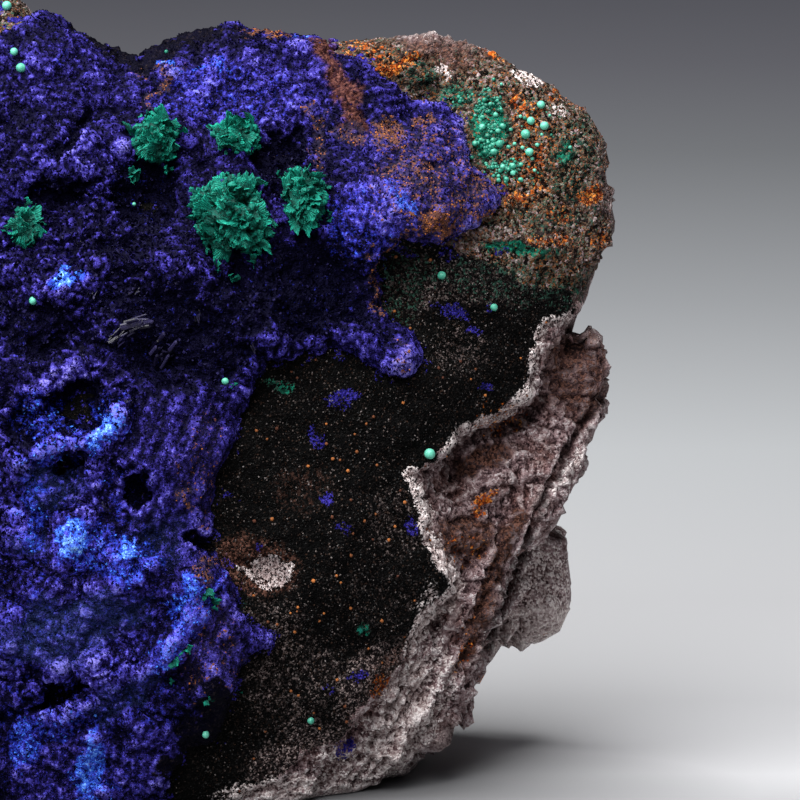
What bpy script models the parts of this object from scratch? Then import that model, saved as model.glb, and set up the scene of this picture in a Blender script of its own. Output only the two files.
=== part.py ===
"""Azurite with malachite on its host rock: a hand-sized mineral specimen that stands on a broken flat base.

The file works in metres with +Z up, and the show face looks along -Y. The shapes are laid out on a design sheet
in millimetres, as an eye in front of the stone sees them: across to the right, up, and forward towards the eye.
sheet_to_world turns those three numbers into a place. The origin is on the resting face, near its middle.
"""

import math

import bmesh
import bpy
import numpy as np
from mathutils import Vector, noise
from mathutils.bvhtree import BVHTree

MM = 0.001

# The eye that the design sheet is drawn for
EYE_DISTANCE = 800.0
EYE_TILT = math.radians(8.0)
SIGHT_ACROSS = 26.25
SIGHT_UP = 51.9

# Driving dimensions, in millimetres
BASE_HEIGHT = 3.4
MIDDLE_DEPTH = 10.7
ROCK_BACK_DEPTH = 37.0
ROCK_CENTRE = (0.0, 50.0)
CRUST_THICKNESS = 2.0
CRUST_EDGE_WIDTH = 2.0
CRUST_SPILL = 1.0
CRUST_OVERHANG = 1.3
CRUST_WRAP = 9.0
CRUST_CLEARANCE = 0.8
LEDGE_DROP = 3.5
LEDGE_WIDTH = 2.2
LUMP_CENTRE = (33.0, 29.5)
LUMP_SETBACK = 23.0
LUMP_HALF_DEPTH = 12.0
GAP = 0.35
BEAD_RISE = 0.45

# Triangles left on each solid
ROCK_TRIANGLES = 3400
CRUST_TRIANGLES = 3300
LUMP_TRIANGLES = 360
SPRAY_TRIANGLES = 240
PATCH_TRIANGLES = 160

# The rock's outline, counter-clockwise from the notch on the right, as (across, up)
ROCK_OUTLINE = (
    (47.6, 61.5), (48.9, 63.4), (49.2, 65.7), (50.4, 68.4), (52.4, 70.4), (53.1, 71.9), (52.9, 76.0),
    (52.4, 80.0), (52.2, 83.4), (50.4, 86.8), (47.1, 89.6), (43.0, 92.6), (38.1, 94.8), (36.1, 96.2),
    (31.9, 98.0), (29.5, 98.2), (27.9, 97.6), (20.0, 96.4), (14.0, 95.6), (2.5, 96.6), (-2.0, 95.0),
    (-6.0, 92.6), (-10.4, 94.4), (-15.1, 96.8), (-19.3, 99.4), (-22.5, 103.1), (-28.8, 104.1), (-35.0, 102.5),
    (-40.0, 98.1), (-44.4, 90.6), (-48.1, 83.1), (-50.6, 71.9), (-50.0, 61.9), (-51.9, 51.9), (-51.5, 41.9),
    (-48.8, 31.9), (-48.1, 21.9), (-45.0, 13.1), (-43.0, 5.0), (-38.0, -4.0), (-20.0, -8.0), (0.0, -8.0),
    (10.0, -5.0), (16.5, -1.0), (20.4, 2.1), (25.1, 4.5), (27.2, 4.9), (27.8, 7.2), (31.3, 8.8), (32.0, 11.3),
    (34.7, 13.0), (35.8, 16.6), (36.4, 18.4), (37.3, 20.9), (38.3, 25.0), (39.1, 28.6), (41.1, 32.1),
    (44.6, 34.4), (46.5, 37.0), (47.5, 39.9), (48.9, 42.2), (50.1, 44.1), (49.5, 45.6), (50.8, 48.9),
    (51.8, 50.0), (52.3, 53.3), (52.2, 56.3), (52.4, 58.6), (50.8, 60.2), (49.1, 60.0),
)

# How far the rock's show face stands forward of the rim, as (across, up, forward)
ROCK_RELIEF = (
    (26.0, 52.0, 18), (13.8, 33.0, 20), (17.5, 14.4, 17), (30.0, 32.0, 16), (38.8, 42.0, 12), (43.8, 48.0, 9),
    (46.2, 77.0, 8), (38.8, 85.6, 9), (32.5, 92.0, 6), (36.2, 70.6, 14), (28.8, 74.0, 17), (13.8, 89.0, 9),
    (1.2, 92.0, 7), (-11.2, 92.0, 8), (6.2, 75.6, 15), (-5.0, 83.0, 11), (-16.0, 77.0, 13), (-5.0, 60.6, 19),
    (-16.0, 60.6, 18), (7.5, 60.6, 19), (-11.0, 45.6, 21), (-1.2, 45.6, 21), (-17.5, 27.0, 20), (-5.0, 27.0, 22),
    (1.2, 20.6, 21), (-11.0, 12.0, 19), (7.5, 8.0, 17), (-36.0, 64.0, 14), (-42.5, 45.6, 9), (-36.0, 27.0, 14),
    (-31.0, 83.0, 9), (-30.0, 95.6, 6), (50.0, 55.0, 5), (50.0, 50.0, 5), (25.0, 8.0, 13), (32.0, 18.0, 12),
    (44.0, 71.0, 11.5), (50.0, 71.5, 8), (45.5, 64.5, 7), (39.0, 63.0, 13),
)

# Right-hand edge of the black face, where the stone breaks back to its brown side, as (up, across)
BLACK_FACE_EDGE = (
    (3.0, 13.8), (10.6, 18.8), (14.4, 22.5), (16.9, 25.0), (20.6, 28.0), (24.4, 28.8), (28.0, 31.2), (30.6, 31.9),
    (33.8, 30.4), (36.9, 29.4), (42.5, 28.5), (45.6, 33.1), (48.8, 34.0), (50.6, 38.8), (51.9, 42.5), (55.6, 43.0),
    (60.0, 44.4), (61.5, 48.0),
)

# Hollows in the rock's face, as (across, up, half length, half width, turn in degrees, depth)
ROCK_PITS = (
    (26.9, 66.9, 5.4, 3.8, 60, 2.6),
    (9.8, 30.6, 3.6, 2.4, -20, 1.4),
    (41.0, 48.0, 5.0, 2.0, 35, 2.2),
    (40.0, 39.0, 6.5, 1.3, 62, 2.4),
    (47.6, 57.6, 1.8, 1.3, 0, 2.6),
    (33.0, 26.0, 6.0, 1.0, 65, 1.4),
    (27.0, 14.0, 5.5, 0.9, 50, 1.2),
)

# Long ribs that stand out of the rock's broken side, as (path, half width, height)
ROCK_RIBS = (
    (((28.2, 43.4), (29.4, 37.5), (31.0, 33.0), (32.0, 29.4)), 1.1, 1.5),
    (((28.4, 42.8), (33.6, 47.4), (37.8, 49.6)), 1.1, 1.3),
    (((41.8, 52.2), (43.4, 56.0), (45.6, 60.4)), 0.9, 1.3),
    (((34.5, 17.6), (38.0, 27.0), (43.2, 34.8), (47.0, 43.0)), 1.3, 1.5),
    (((24.0, 9.0), (30.0, 17.5), (34.0, 26.0)), 1.2, 1.2),
)

# Outline of the spur of stone low on the right, behind the face, as (across, up)
LUMP_OUTLINE = (
    (46.5, 37.0), (47.0, 36.0), (47.1, 33.6), (46.8, 31.9), (47.4, 31.2), (47.5, 28.2), (47.1, 25.6),
    (45.6, 23.0), (42.1, 21.4), (39.0, 21.3), (37.6, 20.2), (30.0, 15.0), (20.0, 14.0), (14.0, 24.0),
    (14.0, 36.0), (22.0, 46.0), (33.0, 44.5), (40.0, 42.0), (44.5, 39.5),
)

# Faces where the stone broke off flat, as (across, up, forward, then the outward direction of the break)
ROCK_BREAKS = (
    (0.0, 50.0, -36.0, 0.0, 0.10, -1.0),
    (22.0, 60.0, -34.0, 0.42, 0.10, -1.0),
    (-28.0, 60.0, -31.0, -0.55, 0.25, -1.0),
    (-30.0, 20.0, -33.0, -0.35, -0.30, -1.0),
    (10.0, 92.0, -22.0, 0.05, 1.0, -0.75),
    (38.0, 80.0, -20.0, 0.75, 0.55, -0.9),
    (-46.5, 60.0, -6.0, -1.0, 0.12, -0.12),
    (-46.0, 30.0, 4.0, -1.0, -0.25, 0.45),
    (-42.0, 88.0, -8.0, -1.0, 0.85, -0.35),
    (48.0, 62.0, -18.0, 1.0, 0.05, -0.35),
    (35.0, 14.0, -8.0, 1.0, -0.75, -0.15),
    (20.0, 30.0, -33.0, 0.25, -0.35, -1.0),
)
LUMP_BREAKS = (
    (45.0, 30.0, -16.0, 0.85, 0.15, 1.0),
    (43.0, 26.0, -32.0, 1.0, -0.35, -0.6),
    (38.0, 38.0, -24.0, 0.35, 1.0, 0.1),
    (34.0, 24.0, -13.5, 0.2, -0.5, 1.0),
    (30.0, 32.0, -34.0, 0.3, 0.1, -1.0),
)

# Outline of the azurite crust, counter-clockwise from the tip that lies on the black face, as (across, up).
# Above the rock's top edge the outline runs free, so that the crust wraps over it.
CRUST_OUTLINE = (
    (28.5, 58.1), (25.6, 60.6), (22.8, 64.4), (23.1, 70.0), (26.2, 72.9), (31.2, 71.9), (36.2, 75.0),
    (38.2, 77.4), (34.4, 81.0), (33.4, 87.0), (30.0, 88.4), (26.2, 89.4), (22.5, 92.5), (19.4, 96.2),
    (18.0, 104.0), (-12.0, 104.0), (-17.5, 100.5), (-21.5, 98.2), (-26.0, 96.2), (-33.0, 91.5), (-39.0, 82.0),
    (-42.5, 69.4), (-41.2, 56.9), (-43.8, 44.4), (-41.2, 31.9), (-38.8, 20.6), (-35.8, 8.0), (-32.0, 0.6),
    (-3.0, 0.6), (-3.4, 3.1), (-3.0, 6.0), (-0.6, 8.8), (2.8, 9.6), (5.2, 15.6), (6.2, 20.0), (9.8, 21.9),
    (6.0, 24.1), (4.4, 30.0), (2.2, 34.4), (1.9, 40.6), (4.8, 46.9), (5.2, 50.6), (7.8, 55.4),
    (11.5, 58.0), (17.5, 58.8), (21.9, 58.2), (25.6, 55.6), (28.1, 55.0),
)

# Ridges of the crust, as (path, half width, height)
CRUST_RIDGES = (
    (((-22.0, 53.9), (-19.5, 53.1), (-16.2, 55.6), (-14.4, 58.1)), 1.2, 1.8),
    (((-21.6, 43.2), (-19.5, 45.6), (-13.4, 47.4), (-10.9, 49.1), (-8.8, 51.2)), 1.3, 2.2),
    (((-16.5, 65.9), (-12.5, 68.4), (-8.1, 69.6)), 1.2, 1.6),
    (((-21.6, 43.8), (-22.4, 40.0), (-21.4, 34.0), (-19.4, 32.9)), 1.1, 1.6),
    (((-5.6, 17.0), (-2.5, 20.4), (0.1, 23.6), (0.9, 26.9), (0.8, 29.0)), 1.3, 2.2),
    (((-11.9, 26.9), (-10.4, 28.4), (-7.5, 29.8), (-4.6, 31.2)), 1.1, 1.5),
    (((-20.0, 27.4), (-17.5, 28.1), (-15.1, 29.0)), 1.1, 1.6),
    (((-16.6, 31.2), (-14.8, 33.4), (-13.8, 35.6)), 1.5, 2.0),
    (((-9.6, 31.6), (-8.1, 33.1), (-7.0, 34.4)), 1.1, 1.6),
    (((-20.0, 15.0), (-17.5, 12.9), (-14.4, 12.9), (-11.2, 15.6), (-8.1, 17.9)), 1.4, 2.0),
    (((-12.8, 7.9), (-11.5, 10.6)), 1.1, 1.4),
    (((-38.0, 34.0), (-33.0, 40.0), (-30.0, 47.0)), 1.6, 2.2),
    (((-37.0, 52.0), (-31.0, 56.0), (-26.0, 62.0)), 1.5, 2.0),
    (((-34.0, 18.0), (-29.0, 24.0), (-26.0, 31.0)), 1.5, 2.0),
)

# Cavities in the crust, as (across, up, half length, half width, turn in degrees, depth)
CRUST_PITS = (
    (-15.2, 44.0, 2.2, 1.0, 10, 3.2),
    (-14.5, 39.0, 1.4, 0.9, 0, 2.6),
    (-6.5, 40.6, 1.6, 1.1, 70, 2.6),
    (-14.6, 51.0, 3.4, 1.8, 35, 3.6),
    (-16.0, 14.8, 3.4, 1.4, 27, 3.6),
    (-14.8, 19.4, 1.1, 0.9, 0, 2.2),
    (-1.0, 78.1, 4.4, 3.4, 60, 3.0),
    (-18.0, 76.2, 4.6, 2.2, 10, 2.6),
    (9.4, 80.2, 2.4, 2.8, 0, 2.4),
    (17.2, 64.2, 4.4, 3.0, 20, 2.2),
    (-6.9, 24.4, 5.6, 2.2, 32, 2.2),
    (6.2, 66.2, 1.6, 2.6, 0, 2.4),
    (-16.0, 59.4, 3.4, 1.6, 30, 2.4),
    (-33.0, 47.5, 3.4, 1.8, 40, 3.0),
    (-31.0, 33.0, 3.0, 1.6, 50, 3.0),
    (-34.0, 69.0, 3.0, 1.8, 10, 2.6),
)

# Swellings of the crust, as (across, up, radius, height)
CRUST_SWELLINGS = (
    (-11.9, 18.5, 2.1, 2.6), (-0.6, 45.0, 6.0, 2.4), (-7.5, 61.2, 3.0, 1.8), (-3.0, 69.4, 4.0, 1.8),
    (-11.0, 71.9, 3.5, 1.5), (1.9, 64.4, 5.0, 2.0), (3.0, 15.6, 3.8, 1.8), (9.4, 61.9, 4.0, 1.4),
    (25.0, 76.2, 4.0, 1.0), (-15.0, 82.5, 4.0, 1.2), (-35.0, 60.0, 5.0, 2.0), (-33.0, 40.5, 4.5, 1.8),
    (-30.0, 26.0, 4.5, 1.8), (-36.0, 75.0, 3.5, 1.4), (-6.0, 9.0, 4.0, 1.4), (-24.0, 22.0, 4.0, 1.6),
)

# Malachite rosettes: name, middle across, middle up, half width, half height, how far they stand out
SPRAYS = (
    ("malachite_spray_main", 5.2, 74.2, 5.4, 5.8, 4.6),
    ("malachite_spray_right", 14.2, 76.2, 3.0, 4.6, 3.2),
    ("malachite_spray_upper", -4.4, 84.0, 3.8, 3.6, 2.8),
    ("malachite_spray_middle", 5.8, 84.0, 3.4, 2.9, 2.4),
    ("malachite_spray_left", -20.4, 72.4, 2.7, 3.4, 2.4),
    ("malachite_spray_far", -34.5, 64.0, 3.8, 3.2, 2.8),
)

# Green patch with beads grown together: its middle and half sizes, then each bead as (across, up, radius)
PATCH_CENTRE = (38.2, 84.8)
PATCH_HALF_WIDTH = 2.5
PATCH_HALF_HEIGHT = 4.6
PATCH_BEADS = (
    (36.5, 85.8, 0.75), (38.6, 83.8, 0.8), (38.1, 82.8, 0.75), (36.9, 82.7, 0.7), (35.6, 83.9, 0.65),
    (39.1, 86.0, 0.6), (38.2, 87.4, 0.6), (39.0, 81.0, 0.6), (40.3, 81.2, 0.7), (40.4, 80.2, 0.6),
    (39.4, 79.4, 0.6), (38.5, 79.3, 0.5), (41.4, 81.3, 0.5), (41.3, 79.3, 0.6), (37.0, 88.6, 0.5),
)

# Beads that stand alone, as (across, up, radius)
LONE_BEADS = (
    (29.8, 45.2, 0.68), (31.5, 67.4, 0.52), (38.0, 63.5, 0.45), (43.8, 88.6, 0.5), (42.5, 86.8, 0.5),
    (44.4, 86.0, 0.55), (41.9, 85.0, 0.6), (42.4, 82.8, 0.55), (-20.9, 93.4, 0.6), (-22.0, 95.2, 0.5),
    (-22.8, 101.0, 0.6), (15.0, 11.9, 0.45), (-19.6, 64.4, 0.5), (4.5, 54.0, 0.45), (1.9, 10.2, 0.45),
)


def sheet_to_world(across, up, forward):
    """Places in metres of points on the design sheet, given as arrays in millimetres.

    What stands forward looks larger to the eye, so it is drawn in towards the line of sight.
    """
    shrink = 1.0 - forward / EYE_DISTANCE
    x = SIGHT_ACROSS + (across - SIGHT_ACROSS) * shrink
    rise = SIGHT_UP + (up - SIGHT_UP) * shrink
    y = rise * math.sin(EYE_TILT) - forward * math.cos(EYE_TILT) - MIDDLE_DEPTH
    z = rise * math.cos(EYE_TILT) + forward * math.sin(EYE_TILT) - BASE_HEIGHT
    return np.stack([x, y, z], axis=-1) * MM


def outline_reach(outline, centre, bearing):
    """Distance from the centre to the outline at each bearing."""
    corners = np.array(outline) - np.array(centre)
    angles = np.arctan2(corners[:, 1], corners[:, 0])
    return np.interp(bearing, angles, np.hypot(corners[:, 0], corners[:, 1]), period=2 * math.pi)


def interpolated_relief(across, up):
    """Forward distance read from ROCK_RELIEF, each point weighted by how near it is."""
    softness = 16.0
    total = np.zeros_like(across)
    weights = np.zeros_like(across)
    for point_across, point_up, forward in ROCK_RELIEF:
        weight = ((across - point_across) ** 2 + (up - point_up) ** 2 + softness) ** -2.0
        total += weight * forward
        weights += weight
    return total / weights


def inside_distance(across, up, outline):
    """Distance from each point to the outline, counted positive inside it and negative outside."""
    corners = np.array(outline)
    nearest = path_distance(across, up, np.vstack([corners, corners[:1]]))
    crossings = np.zeros(across.shape, dtype=int)
    for (start_across, start_up), (end_across, end_up) in zip(corners, np.roll(corners, -1, axis=0)):
        spans = (start_up > up) != (end_up > up)
        rise = end_up - start_up if end_up != start_up else 1.0
        meets = start_across + (up - start_up) * (end_across - start_across) / rise
        crossings += spans & (across < meets)
    return np.where(crossings % 2 == 1, nearest, -nearest)


def path_distance(across, up, path):
    """Distance from each point to a path of straight stretches."""
    nearest = np.full_like(across, np.inf)
    for (start_across, start_up), (end_across, end_up) in zip(path, path[1:]):
        run = end_across - start_across
        rise = end_up - start_up
        share = ((across - start_across) * run + (up - start_up) * rise) / (run * run + rise * rise)
        share = np.clip(share, 0.0, 1.0)
        distance = np.hypot(across - start_across - share * run, up - start_up - share * rise)
        nearest = np.minimum(nearest, distance)
    return nearest


def ridge_height(across, up, ridges):
    """Height that ridges add, each a rounded wall along its path."""
    height = np.zeros_like(across)
    for path, half_width, crest in ridges:
        height += crest * np.exp(-((path_distance(across, up, path) / half_width) ** 2))
    return height


def pit_depth(across, up, pits):
    """Depth that pits take away, each an oval bowl with steep sides."""
    depth = np.zeros_like(across)
    for middle_across, middle_up, half_length, half_width, turn, deepest in pits:
        cosine = math.cos(math.radians(turn))
        sine = math.sin(math.radians(turn))
        along = (across - middle_across) * cosine + (up - middle_up) * sine
        aside = (up - middle_up) * cosine - (across - middle_across) * sine
        spread = (along / half_length) ** 2 + (aside / half_width) ** 2
        depth += deepest * np.exp(-(spread**1.5) * 0.8)
    return depth


def ledge_drop(across, up):
    """How far the brown side lies behind the black face, to the right of the face's edge."""
    heights, edges = np.array(BLACK_FACE_EDGE).T
    past = np.clip((across - np.interp(up, heights, edges)) / LEDGE_WIDTH, 0.0, 1.0)
    below_notch = np.clip((62.5 - up) / 2.0, 0.0, 1.0)
    return LEDGE_DROP * past * past * (3.0 - 2.0 * past) * below_notch


def rock_front(across, up):
    """Forward distance of the rock's show face."""
    face = interpolated_relief(across, up) - ledge_drop(across, up)
    return face + ridge_height(across, up, ROCK_RIBS) - pit_depth(across, up, ROCK_PITS)


def rock_back(across, up):
    """Depth of the rock behind its rim: fullest low down, so that the stone stands well."""
    lean = np.clip((up - 20.0) / 85.0, 0.0, 1.0)
    return ROCK_BACK_DEPTH * (1.0 - 0.35 * lean) + 3.0 * np.sin(across / 13.0 + up / 19.0)


def crust_front(across, up):
    """Forward distance of the azurite's surface, which follows the rock and dives under it past the outline."""
    swelling = np.zeros_like(across)
    for middle_across, middle_up, radius, height in CRUST_SWELLINGS:
        spread = ((across - middle_across) ** 2 + (up - middle_up) ** 2) / radius**2
        swelling += height * np.exp(-spread)
    relief = ridge_height(across, up, CRUST_RIDGES) + swelling - pit_depth(across, up, CRUST_PITS)
    inside = inside_distance(across, up, CRUST_OUTLINE) + CRUST_SPILL
    cover = np.clip(inside / CRUST_EDGE_WIDTH, -1.5, 1.0)
    raised = CRUST_THICKNESS + np.maximum(relief, 0.6 - CRUST_THICKNESS)
    thickness = np.where(cover > 0.0, raised * np.sqrt(np.abs(cover)), cover * 2.0)
    return rock_front(across, up) + thickness + 0.5


def crust_reach():
    """The rock's outline, pushed out where the crust wraps over the top edge."""
    corners = []
    for across, up in ROCK_OUTLINE:
        place = (np.array([across]), np.array([up]))
        wraps = up > 88.0 and float(inside_distance(*place, CRUST_OUTLINE)[0]) > -0.5
        push = CRUST_OVERHANG if wraps else -0.6
        away = np.array([across - ROCK_CENTRE[0], up - ROCK_CENTRE[1]])
        corners.append(tuple(np.array([across, up]) + away / np.hypot(*away) * push))
    return corners


def broken_flat(positions, breaks):
    """Positions with all that stands past each break pressed back almost onto its plane."""
    pressed = positions.copy()
    for across, up, forward, *direction in breaks:
        normal = np.array(direction) / np.linalg.norm(direction)
        past = np.maximum((pressed - np.array([across, up, forward])) @ normal, 0.0)
        pressed -= past[:, None] * normal * 0.94
    return pressed


def chipped(points, size, height, seed):
    """Offset in millimetres that tilts each cell of broken stone its own way, with a step at the cell's edge."""
    offsets = np.empty(len(points))
    for index, point in enumerate(points):
        place = Vector(point) / size + Vector((seed, seed, seed))
        centre = noise.voronoi(place)[1][0]
        tilt = noise.cell_vector(centre * 9.7)
        offsets[index] = (place - centre).dot(tilt)
    return offsets * height


def rough(points, size, height, seed, octaves=4):
    """Smooth fractal offset in millimetres."""
    shift = Vector((seed, seed, seed))
    return np.array([noise.fractal(Vector(p) / size + shift, 0.9, 2.1, octaves) for p in points]) * height


def pillow(outline, centre, front, back, fineness, flatness=0.6):
    """Sheet positions and faces of a closed body with the given outline, front and back.

    It starts as a sphere. Each vertex keeps its bearing round the sheet, its distance from the middle becomes a
    share of the outline's reach, and its depth a share of the front or back distance there.
    """
    sphere = bmesh.new()
    bmesh.ops.create_icosphere(sphere, subdivisions=fineness, radius=1.0)
    directions = np.array([v.co for v in sphere.verts])
    bearing = np.arctan2(directions[:, 2], directions[:, 0])
    spread = np.hypot(directions[:, 0], directions[:, 2]) ** flatness
    reach = outline_reach(outline, centre, bearing) * spread
    across = centre[0] + reach * np.cos(bearing)
    up = centre[1] + reach * np.sin(bearing)
    swell = np.abs(directions[:, 1]) ** 0.7
    forward = np.where(directions[:, 1] < 0, front(across, up), -back(across, up)) * swell
    return sphere, np.stack([across, up, forward], axis=-1)


def outward(sphere, positions):
    """Unit normals of the body's vertices on the sheet."""
    for vert, position in zip(sphere.verts, positions):
        vert.co = (position[0], -position[2], position[1])
    sphere.normal_update()
    normals = np.array([v.normal for v in sphere.verts])
    return np.stack([normals[:, 0], normals[:, 2], -normals[:, 1]], axis=-1)


def material(name, colour, roughness, metallic=0.0):
    """A Principled material with one colour."""
    made = bpy.data.materials.new(name)
    made.use_nodes = True
    shader = made.node_tree.nodes["Principled BSDF"]
    shader.inputs["Base Color"].default_value = (*colour, 1.0)
    shader.inputs["Roughness"].default_value = roughness
    shader.inputs["Metallic"].default_value = metallic
    return made


def link_body(name, sphere, positions, collection, finish):
    """Makes the object of a body whose sheet positions are known."""
    for vert, place in zip(sphere.verts, sheet_to_world(*positions.T)):
        vert.co = place
    mesh = bpy.data.meshes.new(name)
    bmesh.ops.recalc_face_normals(sphere, faces=sphere.faces)
    sphere.to_mesh(mesh)
    sphere.free()
    mesh.materials.append(finish)
    made = bpy.data.objects.new(name, mesh)
    collection.objects.link(made)
    return made


def thin_out(body, cell, triangles):
    """Evens the body's surface to small cells, then leaves about that many triangles where it bends most."""
    even = body.modifiers.new("even", "REMESH")
    even.mode = "VOXEL"
    even.voxel_size = cell * MM
    bpy.context.view_layer.update()
    cells = len(body.evaluated_get(bpy.context.evaluated_depsgraph_get()).data.polygons)
    thinner = body.modifiers.new("thinned", "DECIMATE")
    thinner.use_collapse_triangulate = True
    thinner.ratio = min(1.0, 0.5 * triangles / cells)


def as_cutter(body):
    """Hides a body that only shapes another."""
    body.hide_render = True
    body.display_type = "WIRE"


def combine(body, other, operation):
    """Adds an exact Boolean of another body."""
    step = body.modifiers.new(operation.lower(), "BOOLEAN")
    step.operation = operation
    step.object = other


def evaluated_copy(body, name, collection, swell_mm=0.0):
    """A hidden copy of a body as its modifiers leave it, swollen along its normals, for use as a cutter."""
    bpy.context.view_layer.update()
    graph = bpy.context.evaluated_depsgraph_get()
    made = bpy.data.objects.new(name, bpy.data.meshes.new_from_object(body.evaluated_get(graph)))
    collection.objects.link(made)
    made.matrix_world = body.matrix_world
    if swell_mm:
        swell = made.modifiers.new("gap", "DISPLACE")
        swell.mid_level = 0.0
        swell.strength = swell_mm * MM
    as_cutter(made)
    return made


def keep_largest(body):
    """Applies the body's modifiers and drops crumbs that a Boolean cut off it."""
    bpy.context.view_layer.update()
    graph = bpy.context.evaluated_depsgraph_get()
    mesh = bpy.data.meshes.new_from_object(body.evaluated_get(graph))
    body.modifiers.clear()
    body.data = mesh
    work = bmesh.new()
    work.from_mesh(mesh)
    unseen = set(work.verts)
    groups = []
    while unseen:
        group = set()
        front = [unseen.pop()]
        while front:
            vert = front.pop()
            group.add(vert)
            fresh = [e.other_vert(vert) for e in vert.link_edges if e.other_vert(vert) in unseen]
            unseen.difference_update(fresh)
            front.extend(fresh)
        groups.append(group)
    groups.sort(key=len)
    for crumb in groups[:-1]:
        bmesh.ops.delete(work, geom=list(crumb), context="VERTS")
    work.to_mesh(mesh)
    work.free()


def base_slab(collection, top=0.0):
    """A block that cuts off all that lies below the given height in millimetres."""
    bpy.ops.mesh.primitive_cube_add(size=1.0, location=(0.0, 0.0, top * MM - 0.05))
    slab = bpy.context.object
    slab.name = "base_cutter"
    slab.scale = (0.3, 0.3, 0.1)
    for owner in list(slab.users_collection):
        owner.objects.unlink(slab)
    collection.objects.link(slab)
    as_cutter(slab)
    return slab


def rear_lump(collection, finish):
    """The spur of stone behind the lower right of the face, a cutter that is joined to the rock."""

    def depth(across, up):
        return np.full_like(across, LUMP_HALF_DEPTH)

    sphere, positions = pillow(LUMP_OUTLINE, LUMP_CENTRE, depth, depth, fineness=5)
    positions[:, 2] -= LUMP_SETBACK
    positions = broken_flat(positions, LUMP_BREAKS)
    positions += outward(sphere, positions) * chipped(positions, 6.0, 0.7, 4.2)[:, None]
    lump = link_body("rear_lump", sphere, positions, collection, finish)
    thin_out(lump, 0.6, LUMP_TRIANGLES)
    as_cutter(lump)
    return lump


def matrix_rock(parts, cutters, finish):
    """The host rock, one broken stone with a flat underside."""
    sphere, positions = pillow(ROCK_OUTLINE, ROCK_CENTRE, rock_front, rock_back, fineness=7)
    positions = broken_flat(positions, ROCK_BREAKS)
    behind = np.clip(-positions[:, 2] / 12.0, 0.0, 1.0)
    offset = chipped(positions, 16.0, 2.2, 1.3) * behind
    offset += chipped(positions, 6.0, 0.9, 7.9) * (0.4 + 0.6 * behind)
    offset += rough(positions, 7.0, 0.5, 3.1) - 0.35
    positions += outward(sphere, positions) * offset[:, None]
    rock = link_body("matrix_rock", sphere, positions, parts, finish)
    thin_out(rock, 0.7, ROCK_TRIANGLES)
    combine(rock, rear_lump(cutters, finish), "UNION")
    combine(rock, base_slab(cutters), "DIFFERENCE")
    keep_largest(rock)
    return rock


def azurite_crust(rock, parts, cutters, finish):
    """The blue crust: cavernous lumps and ridges with its back shaped by the rock."""

    def wrap(across, up):
        return np.full_like(across, CRUST_WRAP)

    sphere, positions = pillow(crust_reach(), ROCK_CENTRE, crust_front, wrap, fineness=7)
    positions = broken_flat(positions, ROCK_BREAKS)
    inside = inside_distance(positions[:, 0], positions[:, 1], CRUST_OUTLINE) + CRUST_SPILL
    cover = np.clip(inside / CRUST_EDGE_WIDTH, 0.0, 1.0)
    shown = cover * np.clip(positions[:, 2] / 5.0 + 1.5, 0.0, 1.0)
    offset = chipped(positions, 3.4, 0.8, 2.7) + rough(positions, 3.0, 0.6, 5.5)
    offset = offset * shown - 1.5 * (1.0 - np.minimum(shown * 3.0, 1.0))
    positions += outward(sphere, positions) * offset[:, None]
    crust = link_body("azurite_crust", sphere, positions, parts, finish)
    thin_out(crust, 0.5, CRUST_TRIANGLES)
    combine(crust, base_slab(cutters, CRUST_CLEARANCE), "DIFFERENCE")
    combine(crust, evaluated_copy(rock, "rock_with_gap", cutters, GAP), "DIFFERENCE")
    keep_largest(crust)
    return crust


def surface_seat(grounds, across, up):
    """Where the eye's line through a sheet point first meets stone.

    Returns the place, the outward direction there, the forward distance, and the cutter of the stone that was met.
    """
    near, far = (sheet_to_world(np.array(across), np.array(up), np.array(f)) for f in (60.0, -60.0))
    start = Vector(near)
    travel = Vector(far) - start
    hits = [(*surface.ray_cast(start, travel.normalized()), cutter) for surface, cutter in grounds]
    place, direction, _, distance, cutter = min((hit for hit in hits if hit[0]), key=lambda hit: hit[3])
    return place, direction, 60.0 - 120.0 * distance / travel.length, cutter


def malachite_spray(spray, grounds, parts, finish):
    """One rosette: a low dome whose surface is folded into leaves that run out from its root."""
    name, middle_across, middle_up, half_width, half_height, height = spray
    sphere = bmesh.new()
    bmesh.ops.create_icosphere(sphere, subdivisions=5, radius=1.0)
    directions = np.array([v.co for v in sphere.verts])
    root = surface_seat(grounds, middle_across, middle_up)[2] - 1.0
    seed = middle_across * 0.37
    folds = np.array([noise.noise(Vector(d) * 3.1 + Vector((seed, 0, seed))) for d in directions])
    frill = np.array([noise.noise(Vector(d) * 7.0 + Vector((0, seed, seed))) for d in directions])
    leafy = 1.0 + 0.30 * (1.0 - 4.0 * np.abs(folds)) + 0.22 * frill
    positions = np.stack(
        [
            middle_across + directions[:, 0] * half_width * leafy,
            middle_up + directions[:, 2] * half_height * leafy,
            root - directions[:, 1] * (height + 1.2) * leafy,
        ],
        axis=-1,
    )
    body = link_body(name, sphere, positions, parts, finish)
    thin_out(body, 0.2, SPRAY_TRIANGLES)
    for _, cutter in grounds:
        combine(body, cutter, "DIFFERENCE")
    keep_largest(body)


def bead(name, grounds, across, up, radius, collection, finish):
    """One round bead, sunk a little into the face it grew on, and the cutter of that face."""
    place, direction, _, cutter = surface_seat(grounds, across, up)
    centre = place + direction * (GAP + radius * BEAD_RISE) * MM
    bpy.ops.mesh.primitive_ico_sphere_add(subdivisions=2, radius=radius * MM, location=centre)
    made = bpy.context.object
    made.name = name
    made.data.name = name
    made.data.materials.append(finish)
    for owner in list(made.users_collection):
        owner.objects.unlink(made)
    collection.objects.link(made)
    return made, cutter


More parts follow.
